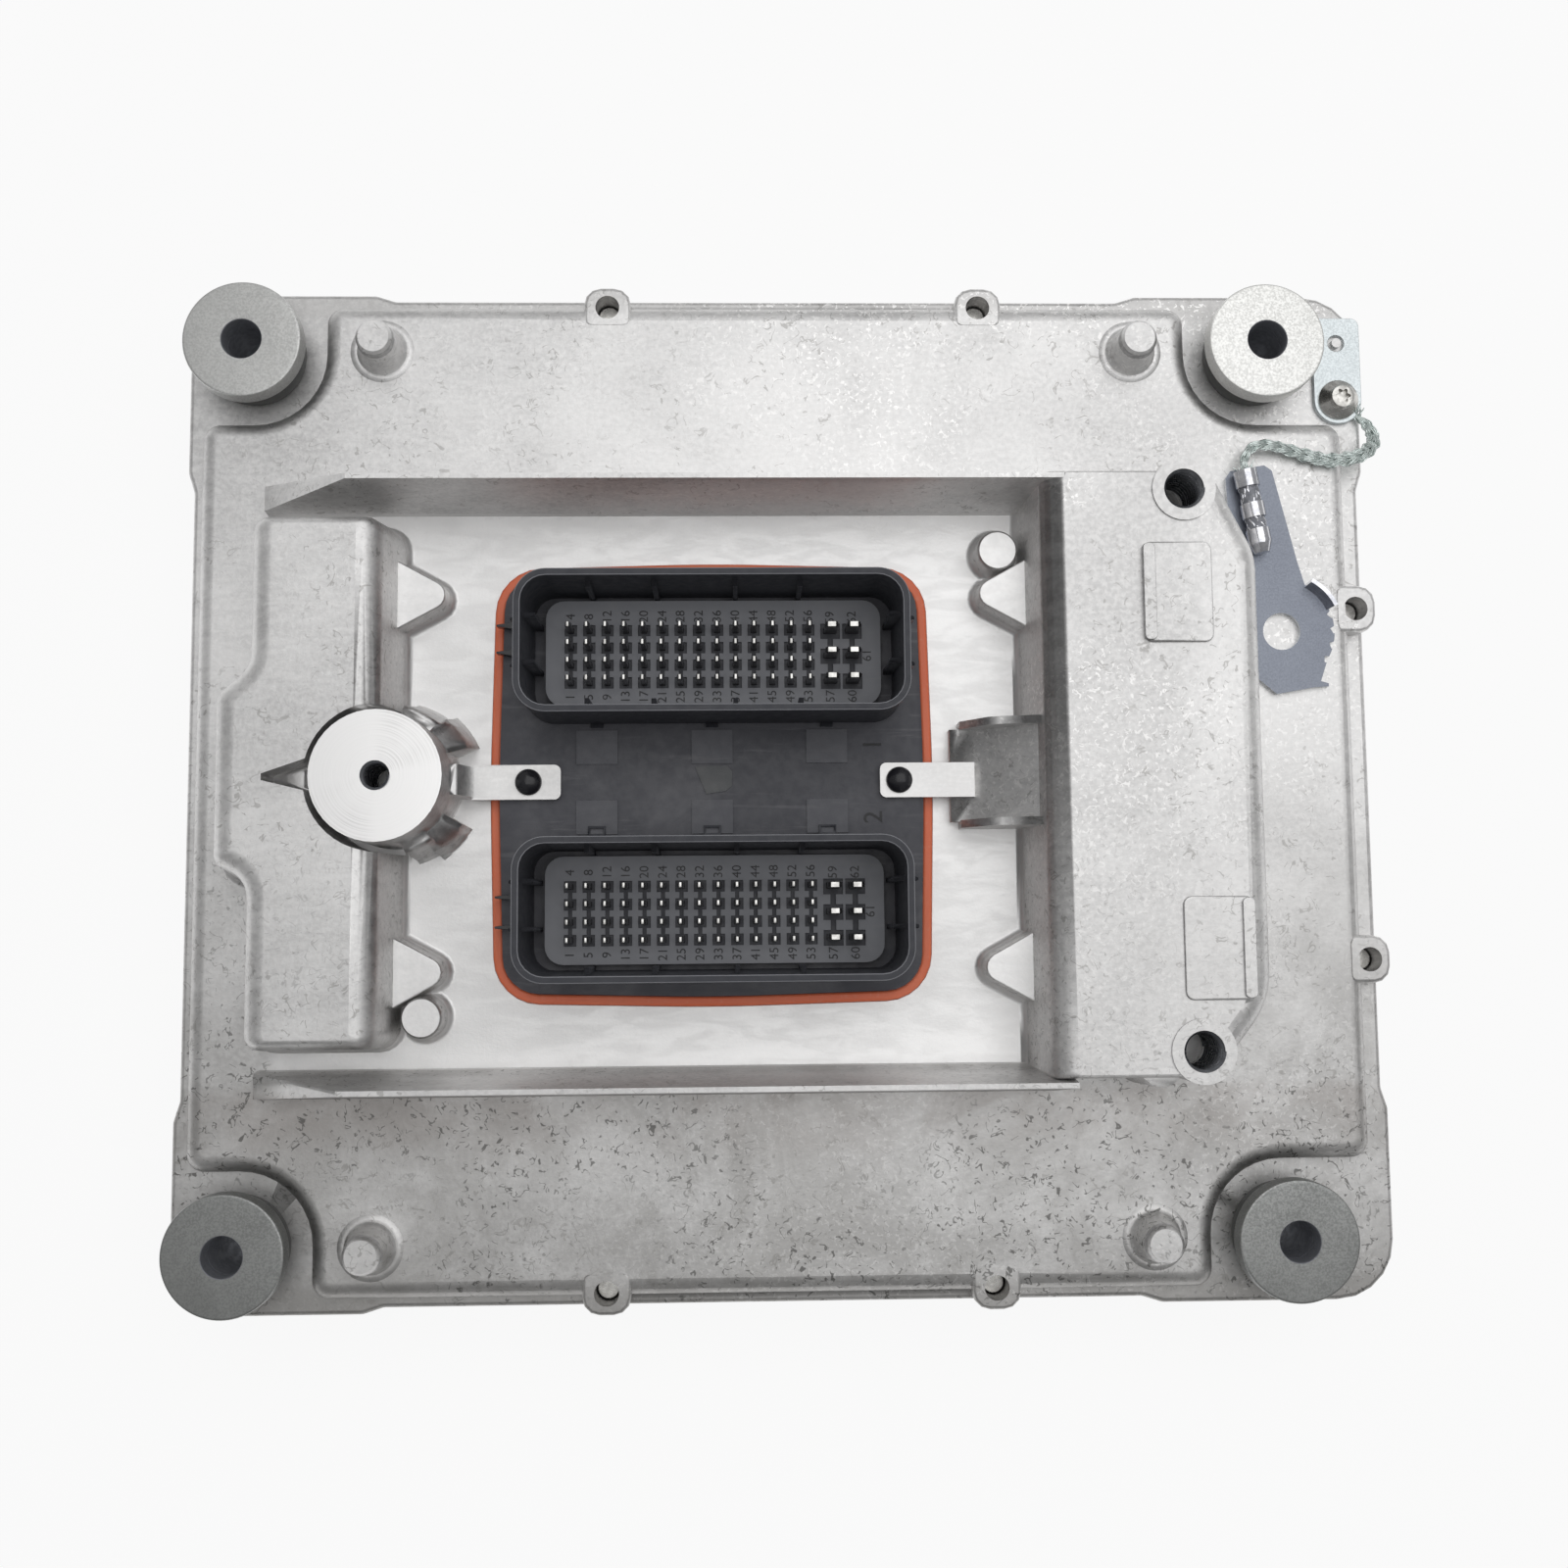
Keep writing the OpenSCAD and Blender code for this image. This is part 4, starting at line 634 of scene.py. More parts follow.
    def bake(self, curve: bpy.types.Curve, place: Matrix) -> None:
        """Adds a curve as faces and removes the curve.

        Args:
            curve: the curve.
            place: where it goes.
        """
        holder = bpy.data.objects.new("baked", curve)
        bpy.context.scene.collection.objects.link(holder)
        bpy.context.view_layer.update()
        mesh = bpy.data.meshes.new_from_object(holder.evaluated_get(bpy.context.evaluated_depsgraph_get()))
        mesh.transform(place)
        self.bm.from_mesh(mesh)
        bpy.data.objects.remove(holder)
        bpy.data.curves.remove(curve)
        bpy.data.meshes.remove(mesh)

    def piece(self, name: str, finishes: Sequence[Finish], angle: float = 38.0, nodes: Sequence[str] = (),
              kind: Callable[[Vector, Vector], Finish] | None = None) -> bpy.types.Object:
        """Makes the mesh into a dressed piece of the unit, which uses it up.

        Args:
            name: name of the piece.
            finishes: its finishes.
            angle: edges above this angle in degrees stay sharp.
            nodes: CAD nodes that the piece stands for.
            kind: gives the finish for a face's centre in millimetres and direction, or none for the first finish.
        Returns:
            The new object.
        """
        if kind:
            for face in self.bm.faces:
                face.material_index = finishes.index(kind(face.calc_center_median() / MM, face.normal))
        mesh = bpy.data.meshes.new(name)
        self.bm.to_mesh(mesh)
        self.bm.free()
        mesh.shade_smooth()
        mesh.set_sharp_from_angle(angle=math.radians(angle))
        for finish in finishes:
            mesh.materials.append(finish.material())
        made = bpy.data.objects.new(name, mesh)
        bpy.context.scene.collection.objects.link(made)
        even = made.modifiers.new("even_shading", "WEIGHTED_NORMAL")
        even.mode, even.weight, even.keep_sharp = "FACE_AREA", 50, True
        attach(made, Body.ROOT.value)
        if nodes:
            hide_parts(*nodes)
        LOG.info("%s: %d faces", name, len(mesh.polygons))
        return made

    @classmethod
    def dress(cls, node: str, finish: Finish, width: float) -> None:
        """Replaces a CAD node with a merged copy whose edges are rounded.

        Args:
            node: name of the CAD node.
            finish: finish of the piece.
            width: width of the rounding in millimetres, or 0 for none.
        """
        made = cls(node)
        if width:
            made.soften(width)
        made.piece(f"{node}_dressed", [finish], nodes=[node])


@dataclass
class Housing:
    """The casting with its machined faces and the threads in its bosses."""

    boss: Pair = (-80.1, 0.8)
    boss_top: float = 53.0
    boss_r: float = 13.8
    boss_core: float = 3.1
    strap_top: float = 34.5
    foot_y: float = 62.0
    foot_z: Pair = (36.0, 43.0)
    plateau: float = 30.0
    side_x: Triple = (132.2, 133.53, 133.97)
    side_z: Triple = (25.0, 25.3, 26.65)
    side_half: float = 79.4
    block_top: float = 52.0
    pins: Pair = (84.8, 99.0)
    pin_r: float = 4.0
    lip: tuple[Pair, ...] = (
        (4.4, -0.1), (7.3, -0.1), (7.0, 0.08), (6.5, 0.3), (6.1, 0.4), (5.7, 0.38), (5.3, 0.24), (4.9, 0.2), (4.4, 0.4))
    thread_pitch: float = 1.5
    thread_deep: float = 16.0
    thread_start: float = 0.8
    thread_steps: int = 36
    ridge: tuple[Pair, ...] = ((0.02, 0.0), (-0.55, 0.6), (-0.55, 0.85), (0.02, 1.4))
    studs: tuple[Pair, ...] = ((90.6, -57.5), (90.0, 61.0))
    stud_top: float = 52.5
    stud_r: float = 4.3

    def kind(self, middle: Vector, normal: Vector) -> Finish:
        """Finish of a face of the casting.

        Args:
            middle: centre of the face in millimetres.
            normal: its direction.
        Returns:
            The finish.
        """
        if normal.z < FACING:
            return Finish.SHADE if self.shaded(middle, normal) else Finish.CAST
        if abs(middle.z - self.boss_top) < LEVEL and (middle.xy - Vector(self.boss)).length < self.boss_r:
            return Finish.TURNED
        if abs(middle.y) < self.foot_y and self.foot_z[0] < middle.z < self.foot_z[1]:
            return Finish.FOOT
        return Finish.STRAP if abs(middle.z - self.strap_top) < LEVEL else Finish.CAST

    def shaded(self, middle: Vector, normal: Vector) -> bool:
        """Tells the sides of the pins, of the pads and of the stud bosses, which take the darker skin as painted shade.

        Args:
            middle: centre of the face in millimetres.
            normal: its direction.
        Returns:
            True on such a side.
        """
        pin = math.hypot(abs(middle.x) - self.pins[0], abs(middle.y) - self.pins[1])
        if pin < self.pin_r + 0.3:
            return middle.z > self.plateau + 1.0 and normal.z < 0.3
        return middle.x > 0.0 and middle.z > self.block_top + LEVEL and normal.z < 0.75

    def casting(self) -> None:
        """Dresses the casting."""
        finishes = [Finish.CAST, Finish.TURNED, Finish.STRAP, Finish.FOOT, Finish.SHADE]
        Mould("housing").piece("housing_casting", finishes, 33.0, ["housing"], self.kind)

    def thread(self, name: str, centre: Pair, top: float, core: float) -> None:
        """Adds a helical thread inside a hole.

        Args:
            name: name of the piece.
            centre: place of the hole in millimetres.
            top: level of the hole's mouth in millimetres.
            core: radius of the hole in millimetres.
        """
        made, middle = Mould(), Vector((*centre, 0.0)) * MM
        turns = int(self.thread_deep / self.thread_pitch)
        start = top - self.thread_start - turns * self.thread_pitch
        corners = [made.bm.verts.new(middle + Vector((core + r, 0.0, start + z)) * MM) for r, z in self.ridge]
        face = made.bm.faces.new(corners)
        bmesh.ops.spin(made.bm, geom=[face, *face.edges, *corners], cent=middle, axis=UP,
                       dvec=UP * self.thread_pitch / self.thread_steps * MM, angle=math.tau * turns,
                       steps=self.thread_steps * turns, use_merge=False, use_duplicate=False)
        bmesh.ops.recalc_face_normals(made.bm, faces=made.bm.faces)
        made.piece(name, [Finish.THREAD], 30.0)

    def side_wall(self) -> None:
        """Closes the foot of the plateau's right side, where the source's wall is thinner than its step."""
        (x0, x1, x2), (z0, z1, z2) = self.side_x, self.side_z
        profile = [(x0, z0 - 0.1), (x2, z0 - 0.1), (x2, z0), (x1 + 0.12, z0 + 0.05), (x1, z1), (x1, z2), (x0, z2)]
        made = Mould()
        made.prism([(x, -self.side_half, z) for x, z in profile], (0.0, 2.0 * self.side_half, 0.0))
        made.piece("side_wall_foot", [Finish.CAST], 40.0)

    def pin_lips(self) -> None:
        """Adds the shallow lips that the die left round the feet of the four pins."""
        made = Mould()
        for x in (-self.pins[0], self.pins[0]):
            for y in (-self.pins[1], self.pins[1]):
                made.lathe([(r, self.plateau + z) for r, z in self.lip], (x, y))
        made.piece("pin_lips", [Finish.CAST], 40.0)

    def build(self) -> None:
        """Builds the casting, its lips, its side and its threads."""
        self.casting()
        self.pin_lips()
        self.side_wall()
        for number, place in enumerate(self.studs, 1):
            self.thread(f"stud_thread_{number}", place, self.stud_top, self.stud_r)
        self.thread("boss_thread", self.boss, self.boss_top, self.boss_core)


@dataclass
class Bushes:
    """Steel discs, rubber collars and sleeves at the four corners."""

    half_x: float = 114.0
    half_y: float = 99.0
    bore_r: float = 4.4
    disc_r: float = 13.0
    disc_z: Pair = (33.0, 38.0)
    disc_edge: Pair = (0.6, 0.15)
    lower_z: Pair = (0.0, 3.0)
    lower_edge: Pair = (0.4, 0.4)
    collar_r: float = 11.5
    neck_r: float = 8.7
    neck_z: Pair = (8.0, 25.0)
    tube_r: float = 6.2
    sleeve_r: float = 6.3

    def disc(self, low: float, high: float, edge: float, mouth: float) -> list[Pair]:
        """Profile of a disc with eased edges.

        Args:
            low: lower level in millimetres.
            high: upper level in millimetres.
            edge: size of the eased outer edge in millimetres.
            mouth: size of the eased edge of the bore in millimetres.
        Returns:
            Corners of the profile.
        """
        outer, inner, soft = self.disc_r, self.bore_r, edge * 0.3
        return [
            (inner, low + mouth), (inner + mouth, low), (outer - edge, low), (outer - soft, low + soft),
            (outer, low + edge), (outer, high - edge), (outer - soft, high - soft), (outer - edge, high),
            (inner + mouth, high), (inner, high - mouth),
        ]

    def collar(self) -> list[Pair]:
        """Profile of a rubber bush, with a soft bulge on each collar."""
        r, neck, inner = self.collar_r, self.neck_r, self.sleeve_r
        foot, top, (low, high) = self.lower_z[1], self.disc_z[0], self.neck_z
        return [
            (inner, foot), (r - 0.5, foot), (r - 0.1, 4.2), (r, 5.5), (r - 0.4, low), (neck, low), (neck, high),
            (r - 0.6, high), (r - 0.1, 26.5), (r, 29.0), (r - 0.1, 31.5), (r - 0.6, top), (inner, top),
        ]

    def tone(self, middle: Vector, _normal: Vector) -> Finish:
        """Finish of a face of the upper discs: the two front ones darkest, the back left one lighter, the back right
        one palest, and the bores in the sleeve's steel.

        Args:
            middle: centre of the face in millimetres.
            _normal: its direction, which doesn't matter here.
        Returns:
            The finish.
        """
        if math.hypot(abs(middle.x) - self.half_x, abs(middle.y) - self.half_y) < self.bore_r + 0.1:
            return Finish.SLEEVE
        if middle.y < 0.0:
            return Finish.DISC
        return Finish.PALE_DISC if middle.x > 0.0 else Finish.MID_DISC

    def build(self) -> None:
        """Builds the four bushes."""
        upper, lower, rubber, sleeve = (Mould() for _ in range(4))
        foot, top = self.lower_z[1], self.disc_z[0]
        tube = [(self.bore_r, foot), (self.tube_r, foot), (self.tube_r, top), (self.bore_r, top)]
        for place in [(x, y) for x in (-self.half_x, self.half_x) for y in (-self.half_y, self.half_y)]:
            upper.lathe(self.disc(*self.disc_z, *self.disc_edge), place, 96)
            lower.lathe(self.disc(*self.lower_z, *self.lower_edge), place, 96)
            rubber.lathe(self.collar(), place)
            sleeve.lathe(tube, place)
        finishes = [Finish.DISC, Finish.MID_DISC, Finish.PALE_DISC, Finish.SLEEVE]
        upper.piece("bush_discs", finishes, nodes=["bush_washers"], kind=self.tone)
        lower.piece("mounting_discs", [Finish.DISC], nodes=["lower_washers"])
        rubber.piece("bush_collars", [Finish.BUSH], nodes=["bush_rubbers"])
        sleeve.piece("bush_tubes", [Finish.SLEEVE], nodes=["bush_sleeves"])


@dataclass
class Header:
    """The black connector header: sockets, contact carriers, cavity numbers and its seal."""

    centre_x: float = -10.4
    sockets: Pair = (28.8, -27.2)
    grid: Pair = (-15.6, -0.6)
    plate: float = 33.0
    carrier: float = 35.5
    carrier_size: Pair = (73.4, 23.4)
    carrier_corner: float = 4.0
    sunk: float = 0.05
    pocket: float = 0.55
    pitch: Pair = (4.0, 3.85)
    columns: int = 14
    rows: int = 4
    cell: Triple = (1.35, 1.35, 1.15)
    slot: float = 0.45
    blade_pitch: Pair = (4.8, 5.55)
    blade_cell: Triple = (2.15, 1.9, 1.5)
    blade_slot: float = 0.6
    digit: Pair = (2.0, 0.08)
    digit_off: Pair = (3.2, 3.0)
    blade_digit_off: Triple = (3.5, 2.9, 3.3)
    socket_digit: Pair = (4.2, 0.12)
    socket_digits: tuple[tuple[str, Pair], ...] = (("1", (24.6, 8.8)), ("2", (24.6, -7.2)))
    gate: tuple[Pair, ...] = (
        (-14.6, 4.1), (-13.4, 1.0), (-12.2, -1.9), (-8.0, -1.3), (-6.6, -0.1), (-6.5, 3.0), (-7.6, 4.3), (-11.0, 4.3))
    gate_rise: float = 0.3
    gate_inset: float = 0.9
    rim: float = 0.45
    edge: float = 0.12
    stakes: tuple[Pair, ...] = ((-50.9, 0.8), (30.1, 0.8))
    stake_r: float = 3.0
    nub_x: Pair = (-58.0, -53.4)
    nub_z: Pair = (32.5, 35.2)
    nub_places: tuple[Pair, ...] = ((35.3, 1.0), (29.3, 0.9), (-24.2, 0.6), (-30.7, 0.6))

    def reach(self) -> Pair:
        """Way from the middle of the grid to its last column and row in millimetres."""
        return (self.columns - 1) / 2 * self.pitch[0], (self.rows - 1) / 2 * self.pitch[1]

    def cells(self) -> list[tuple[float, float, float, float]]:
        """Sunk cells round the contacts and the slots between them, from the grid's middle, as x0, y0, x1, y1."""
        (last_x, last_y), (wide, long) = self.reach(), self.blade_pitch
        made = []
        pins = [(i * self.pitch[0] - last_x, j * self.pitch[1] - last_y)
                for i in range(self.columns) for j in range(self.rows)]
        blades = [(last_x + i * wide, j * long) for i in (1, 2) for j in (-1, 0, 1)]
        for places, (half, down, up), slot, pitch, last in (
                (pins, self.cell, self.slot, self.pitch[1], last_y),
                (blades, self.blade_cell, self.blade_slot, long, long)):
            made += [(x - half, y - down, x + half, y + up) for x, y in places]
            made += [(x - slot, y + up, x + slot, y + pitch - down) for x, y in places if y < last - 0.1]
        return made

    def carrier_face(self, name: str, socket_y: float) -> None:
        """Adds the face of a contact carrier with a sunk cell round each contact.

        Args:
            name: name of the piece.
            socket_y: middle of the socket in millimetres.
        """
        made = Mould()
        bm, low, cells = made.bm, self.carrier - self.sunk, self.cells()
        half_w, half_l = (size / 2 - self.sunk for size in self.carrier_size)
        place = Vector((self.centre_x, socket_y, low)) * MM
        corners = [bm.verts.new(place + Vector((x, y, 0.0)) * MM)
                   for x, y in ((-half_w, -half_l), (half_w, -half_l), (half_w, half_l), (-half_w, half_l))]
        bm.faces.new(corners)
        bmesh.ops.bevel(bm, geom=corners, offset=self.carrier_corner * MM, segments=6, profile=0.5, affect="VERTICES",
                        material=-1)
        middle = Vector((self.grid[0], socket_y + self.grid[1], low))
        for axis, direction in enumerate((Vector((1.0, 0.0, 0.0)), Vector((0.0, 1.0, 0.0)))):
            for cut in sorted({round(c[axis + k], 4) for c in cells for k in (0, 2)}):
                bmesh.ops.bisect_plane(bm, geom=[*bm.verts, *bm.edges, *bm.faces], dist=1e-8,
                                       plane_co=(middle + direction * cut) * MM, plane_no=direction)
        sunk = []
        for face in bm.faces:
            spot = face.calc_center_median() / MM - middle
            if any(c[0] < spot.x < c[2] and c[1] < spot.y < c[3] for c in cells):
                sunk.append(face)
        bmesh.ops.delete(bm, geom=sunk, context="FACES")
        bmesh.ops.dissolve_limit(bm, angle_limit=0.01, use_dissolve_boundaries=False, verts=bm.verts, edges=bm.edges)
        made.grow(bm.faces[:], (0.0, 0.0, self.pocket + self.sunk))
        made.piece(name, [Finish.CARRIER], 30.0)

    def numbers(self) -> None:
        """Raises the cavity numbers of both sockets and a digit beside each socket."""
        (last_x, last_y), (wide, long) = self.reach(), self.blade_pitch
        (low, high), (blade_low, blade_high, side) = self.digit_off, self.blade_digit_off
        marks = []
        for i in range(self.columns):
            x = i * self.pitch[0] - last_x
            marks += [(self.rows * i + 1, x, -last_y - low), (self.rows * (i + 1), x, last_y + high)]
        first = self.columns * self.rows + 1
        for i in (0, 1):
            x = last_x + wide * (i + 1)
            marks += [(first + 3 * i, x, -long - blade_low), (first + 2 + 3 * i, x, long + blade_high)]
        marks.append((first + 4, last_x + 2 * wide + side, 0.0))
        made = Mould()
        for socket_y in self.sockets:
            for number, x, y in marks:
                place = (self.grid[0] + x, socket_y + self.grid[1] + y, self.carrier + self.pocket)
                made.words(str(number), self.digit[0], place, self.digit[1])
        for text, (x, y) in self.socket_digits:
            made.words(text, self.socket_digit[0], (x, y, self.plate), self.socket_digit[1])
        made.piece("cavity_numbers", [Finish.INK], 30.0)

    def gate_mark(self) -> None:
        """Adds the rough patch left by the moulding gate."""
        made = Mould()
        made.prism([(x, y, self.plate - self.sunk) for x, y in self.gate], (0.0, 0.0, self.gate_rise + self.sunk))
        top = [f for f in made.bm.faces if f.normal.z > FACING]
        bmesh.ops.inset_region(made.bm, faces=top, thickness=self.gate_inset * MM, depth=self.edge * MM)
        made.piece("gate_mark", [Finish.GATE], 20.0)

    def nubs(self) -> None:
        """Adds the small pointed nubs that hold the seal down beside each socket."""
        made = Mould()
        (tip, root), (low, high) = self.nub_x, self.nub_z
        for y, wide in self.nub_places:
            outline = [(root, y - wide), (root, y + wide), (tip + 1.0, y + 0.35), (tip, y + 0.2), (tip, y - 0.2),
                       (tip + 1.0, y - 0.35)]
            made.prism([(*corner, low) for corner in outline], (0.0, 0.0, high - low))
        made.soften(self.edge)
        made.piece("seal_nubs", [Finish.STAKE], 30.0)

    def moulding(self) -> None:
        """Dresses the header's moulding, with its plate and its shrouds told apart."""
        made = Mould("connector_header")
        top = max(vert.co.z for vert in made.bm.verts) - self.rim * MM
        made.soften(self.rim, [e for e in made.sharp() if min(v.co.z for v in e.verts) > top])
        finishes = [Finish.SHROUD, Finish.PLATE, Finish.BLOCK, Finish.RIM, Finish.STAKE]
        made.piece("header_moulding", finishes, nodes=["connector_header"],
                   kind=lambda middle, normal: self.kind(middle, normal, top / MM))

    def kind(self, middle: Vector, normal: Vector, top: float) -> Finish:
        """Finish of a face of the moulding.

        Args:
            middle: centre of the face in millimetres.
            normal: its direction.
            top: level where the rounding of the rim starts.
        Returns:
            The finish.
        """
        rise = middle.z - self.plate
        if rise > 1.4 and any((middle.xy - Vector(stake)).length < self.stake_r for stake in self.stakes):
            return Finish.STAKE
        # the rounded rim takes the paler plastic as painted sheen
        if middle.z > top and normal.z < 0.97:
            return Finish.RIM
        if normal.z < FACING or rise > 0.6:
            return Finish.SHROUD
        return Finish.BLOCK if rise > 0.3 else Finish.PLATE

    def contact(self, node: str) -> None:
        """Dresses contacts, with darker sides and a painted highlight on their tips.

        Args:
            node: name of the CAD node.
        """
        made = Mould(node)
        made.soften(self.edge)
        made.piece(f"{node}_dressed", [Finish.STEM, Finish.CONTACT], nodes=[node],
                   kind=lambda _, normal: Finish.CONTACT if normal.z > FACING else Finish.STEM)

    def build(self) -> None:
        """Builds the header, its contacts and its seal."""
        self.moulding()
        for number, socket_y in enumerate(self.sockets, 1):
            self.carrier_face(f"carrier_face_{number}", socket_y)
        self.numbers()
        self.gate_mark()
        self.nubs()
        for node in ("signal_pins_a", "signal_pins_b", "power_blades_a", "power_blades_b"):
            self.contact(node)
        Mould.dress("header_gasket", Finish.SILICONE, 0.7)


@dataclass
class EarthLead:
    """Earth tab, its lobed screw, the woven braid and the ring terminal."""

    tab: Pair = (133.9, 89.0)
    exit: Triple = (138.4, 85.7, 26.4)
    mouth: Triple = (109.1152, 70.0789, 33.8)
    start: tuple[Triple, ...] = (
        (0, 0, 0), (2.2, -2.3, 0.4), (3.1, -4.7, 1), (2.8, -7.3, 2.4), (0.8, -9.9, 4.2), (-2.2, -11.7, 5.2),
        (-5.8, -12.5, 5.3))
    finish: tuple[Triple, ...] = (
        (19.3, 3.2, -2.2), (15.1, 4.2, -2.2), (10.9, 5.4, -1.9), (7.6, 6.1, -1.2), (4.7, 6.3, -0.7), (3, 6, -0.5),
        (1.5, 5.1, -0.3), (0.5, 3.9, -0.1), (-0.1, 2.3, 0), (-0.1042, 0.5909, 0), (0, 0, 0))
    diameter: float = 2.4
    weave: float = 13.0
    strands: int = 4
    each: int = 7
    wire_r: float = 0.13
    packing_r: float = 0.3
    fray_r: float = 0.11
    lean: float = 0.8
    terminal_turn: float = 10.0
    terminal_top: float = 31.4
    barrel_l: float = 19.0
    core_r: float = 1.9
    packed: int = 11
    packed_steps: int = 60
    screw_levels: tuple[Pair, ...] = (
        (2.0, 17.2), (2.0, 26.2), (4.6, 26.2), (4.6, 26.6), (4.4, 26.8), (2.85, 28.0), (2.7, 28.3), (2.7, 29.1),
        (2.5, 29.4), (2.15, 29.5))
    socket_levels: tuple[Pair, ...] = ((1.5, 29.5), (1.4, 28.5))
    lobe: float = 0.2

    def line(self, steps: int = 12) -> list[Vector]:
        """Smooth line along the braid's route.

        Args:
            steps: points between two corners of the route.
        Returns:
            Points in millimetres.
        """
        corners = [Vector(self.exit) + Vector(p) for p in self.start]
        corners += [Vector(self.mouth) + Vector(p) for p in self.finish]
        ends = [corners[0] * 2 - corners[1], *corners, corners[-1] * 2 - corners[-2]]
        made: list[Vector] = []
        for a, b, c, d in zip(ends, ends[1:], ends[2:], ends[3:]):
            for k in range(steps):
                t = k / steps
                made.append(0.5 * (2 * b + (c - a) * t + (2 * a - 5 * b + 4 * c - d) * t * t
                                   + (3 * b - a - 3 * c + d) * t ** 3))
        return made + [corners[-1]]

    def plait(self, line: list[Vector]) -> list[list[Vector]]:
        """Flat plait of strands along a line, each of a few wires side by side.

        Args:
            line: centre line in millimetres.
        Returns:
            Points of each wire in millimetres.
        """
        run = [0.0]
        for a, b in zip(line, line[1:]):
            run.append(run[-1] + (b - a).length)
        made: list[list[Vector]] = [[] for _ in range(self.strands * self.each)]
        for i, point in enumerate(line):
            ahead = (line[min(i + 1, len(line) - 1)] - line[max(i - 1, 0)]).normalized()
            side = ahead.cross(UP).normalized()
            up = side.cross(ahead)
            part = run[i] / run[-1]
            wide = min(1.0, 0.45 + part * 4.0) * min(1.0, 0.5 + (1.0 - part) * 1.1)
            for k, wire in enumerate(made):
                phase = math.tau * (run[i] / self.weave + (k // self.each) / self.strands)
                lane = k % self.each - (self.each - 1) / 2
                across = 0.7 * math.asin(math.sin(phase)) + lane * 0.2 + 0.08 * math.sin(run[i] * 1.3 + 1.7 * k)
                over = 0.3 * math.sin(2 * phase) + 0.1 * math.cos(run[i] * 1.1 + 2.0 * k)
                wire.append(point + side * (across * wide + self.lean * max(0.0, 1.0 - 2.0 * part)) + up * over)
        return made

    def outward(self) -> tuple[Vector, Vector]:
        """Directions out of the crimp's mouth and across it."""
        turn = math.radians(self.terminal_turn)
        return Vector((-math.sin(turn), math.cos(turn), 0.0)), Vector((math.cos(turn), math.sin(turn), 0.0))

    def packing(self) -> list[list[Vector]]:
        """Crinkled wires inside the crimp, which show in its windows."""
        out, side = self.outward()
        made = []
        for k in range(self.packed):
            wire = []
            for step in range(self.packed_steps + 1):
                along = 2.6 + (self.barrel_l - 2.9) * step / self.packed_steps
                turn = math.tau * k / self.packed + 0.09 * along + 0.16 * math.sin(1.7 * along + 2.3 * k)
                far = self.core_r + 0.14 * math.sin(2.1 * along + 1.9 * k)
                wire.append(Vector(self.mouth) + out * (along - self.barrel_l) + side * far * math.cos(turn)
                            + UP * far * math.sin(turn))
            made.append(wire)
        return made

    def frays(self) -> list[list[Vector]]:
        """Loose wire ends at the crimp's mouth and beside the tab."""
        chance = random.Random(11)
        out, side = self.outward()
        made = []
        for place, lead, across, spread, count in (
                (Vector(self.mouth), out, side, 1.5, 16),
                (Vector(self.exit), Vector((0.3, 0.95, 0.1)), Vector((0.95, -0.3, 0.0)), 0.7, 9)):
            for _ in range(count):
                turn, far = chance.uniform(0.0, math.tau), spread * math.sqrt(chance.random())
                foot = place - lead * 0.3 + across * far * math.cos(turn) + UP * far * math.sin(turn)
                lean = lead + across * chance.uniform(-0.7, 0.7) + UP * chance.uniform(-0.1, 0.5)
                size, bend = chance.uniform(1.0, 2.4), across * chance.uniform(-0.6, 0.6)
                made.append([foot + lean * size * t + bend * t * t for t in (0.0, 0.25, 0.5, 0.75, 1.0)])
        return made

    def braid(self) -> None:
        """Adds the woven braid, its packing and its loose ends."""
        line = self.line()
        wires, packing, frays = (
            Mould().wires(lines, radius).piece(name, [finish], 60.0, nodes)
            for name, lines, radius, finish, nodes in (
                ("earth_braid_wires", self.plait(line), self.wire_r, Finish.WIRE, ["earth_braid"]),
                ("crimp_packing", self.packing(), self.packing_r, Finish.CRIMP, []),
                ("braid_frays", self.frays(), self.fray_r, Finish.WIRE, [])))

    def kind(self, middle: Vector, normal: Vector) -> Finish:
        """Finish of a face of the ring terminal: dull on its plate, bright on its sheared edges and its crimp, with
        darker steel on the crimp's core as painted shade in its windows.

        Args:
            middle: centre of the face in millimetres.
            normal: its direction.
        Returns:
            The finish.
        """
        if middle.z <= self.terminal_top + 0.05:
            return Finish.SHEARED if abs(normal.z) < 0.5 else Finish.TERMINAL
        out, _ = self.outward()
        away = Vector(self.mouth) - middle
        away -= out * away.dot(out)
        # painted shade: the core that shows between the wires takes the darker sleeve steel
        bore = away.length < self.core_r + 0.4 and abs(normal.dot(out)) < 0.3
        return Finish.SLEEVE if bore else Finish.CRIMP

    def ring(self) -> None:
        """Dresses the ring terminal."""
        finishes = [Finish.TERMINAL, Finish.CRIMP, Finish.SHEARED, Finish.SLEEVE]
        Mould("ring_terminal").piece("ring_terminal_dressed", finishes, nodes=["ring_terminal"], kind=self.kind)

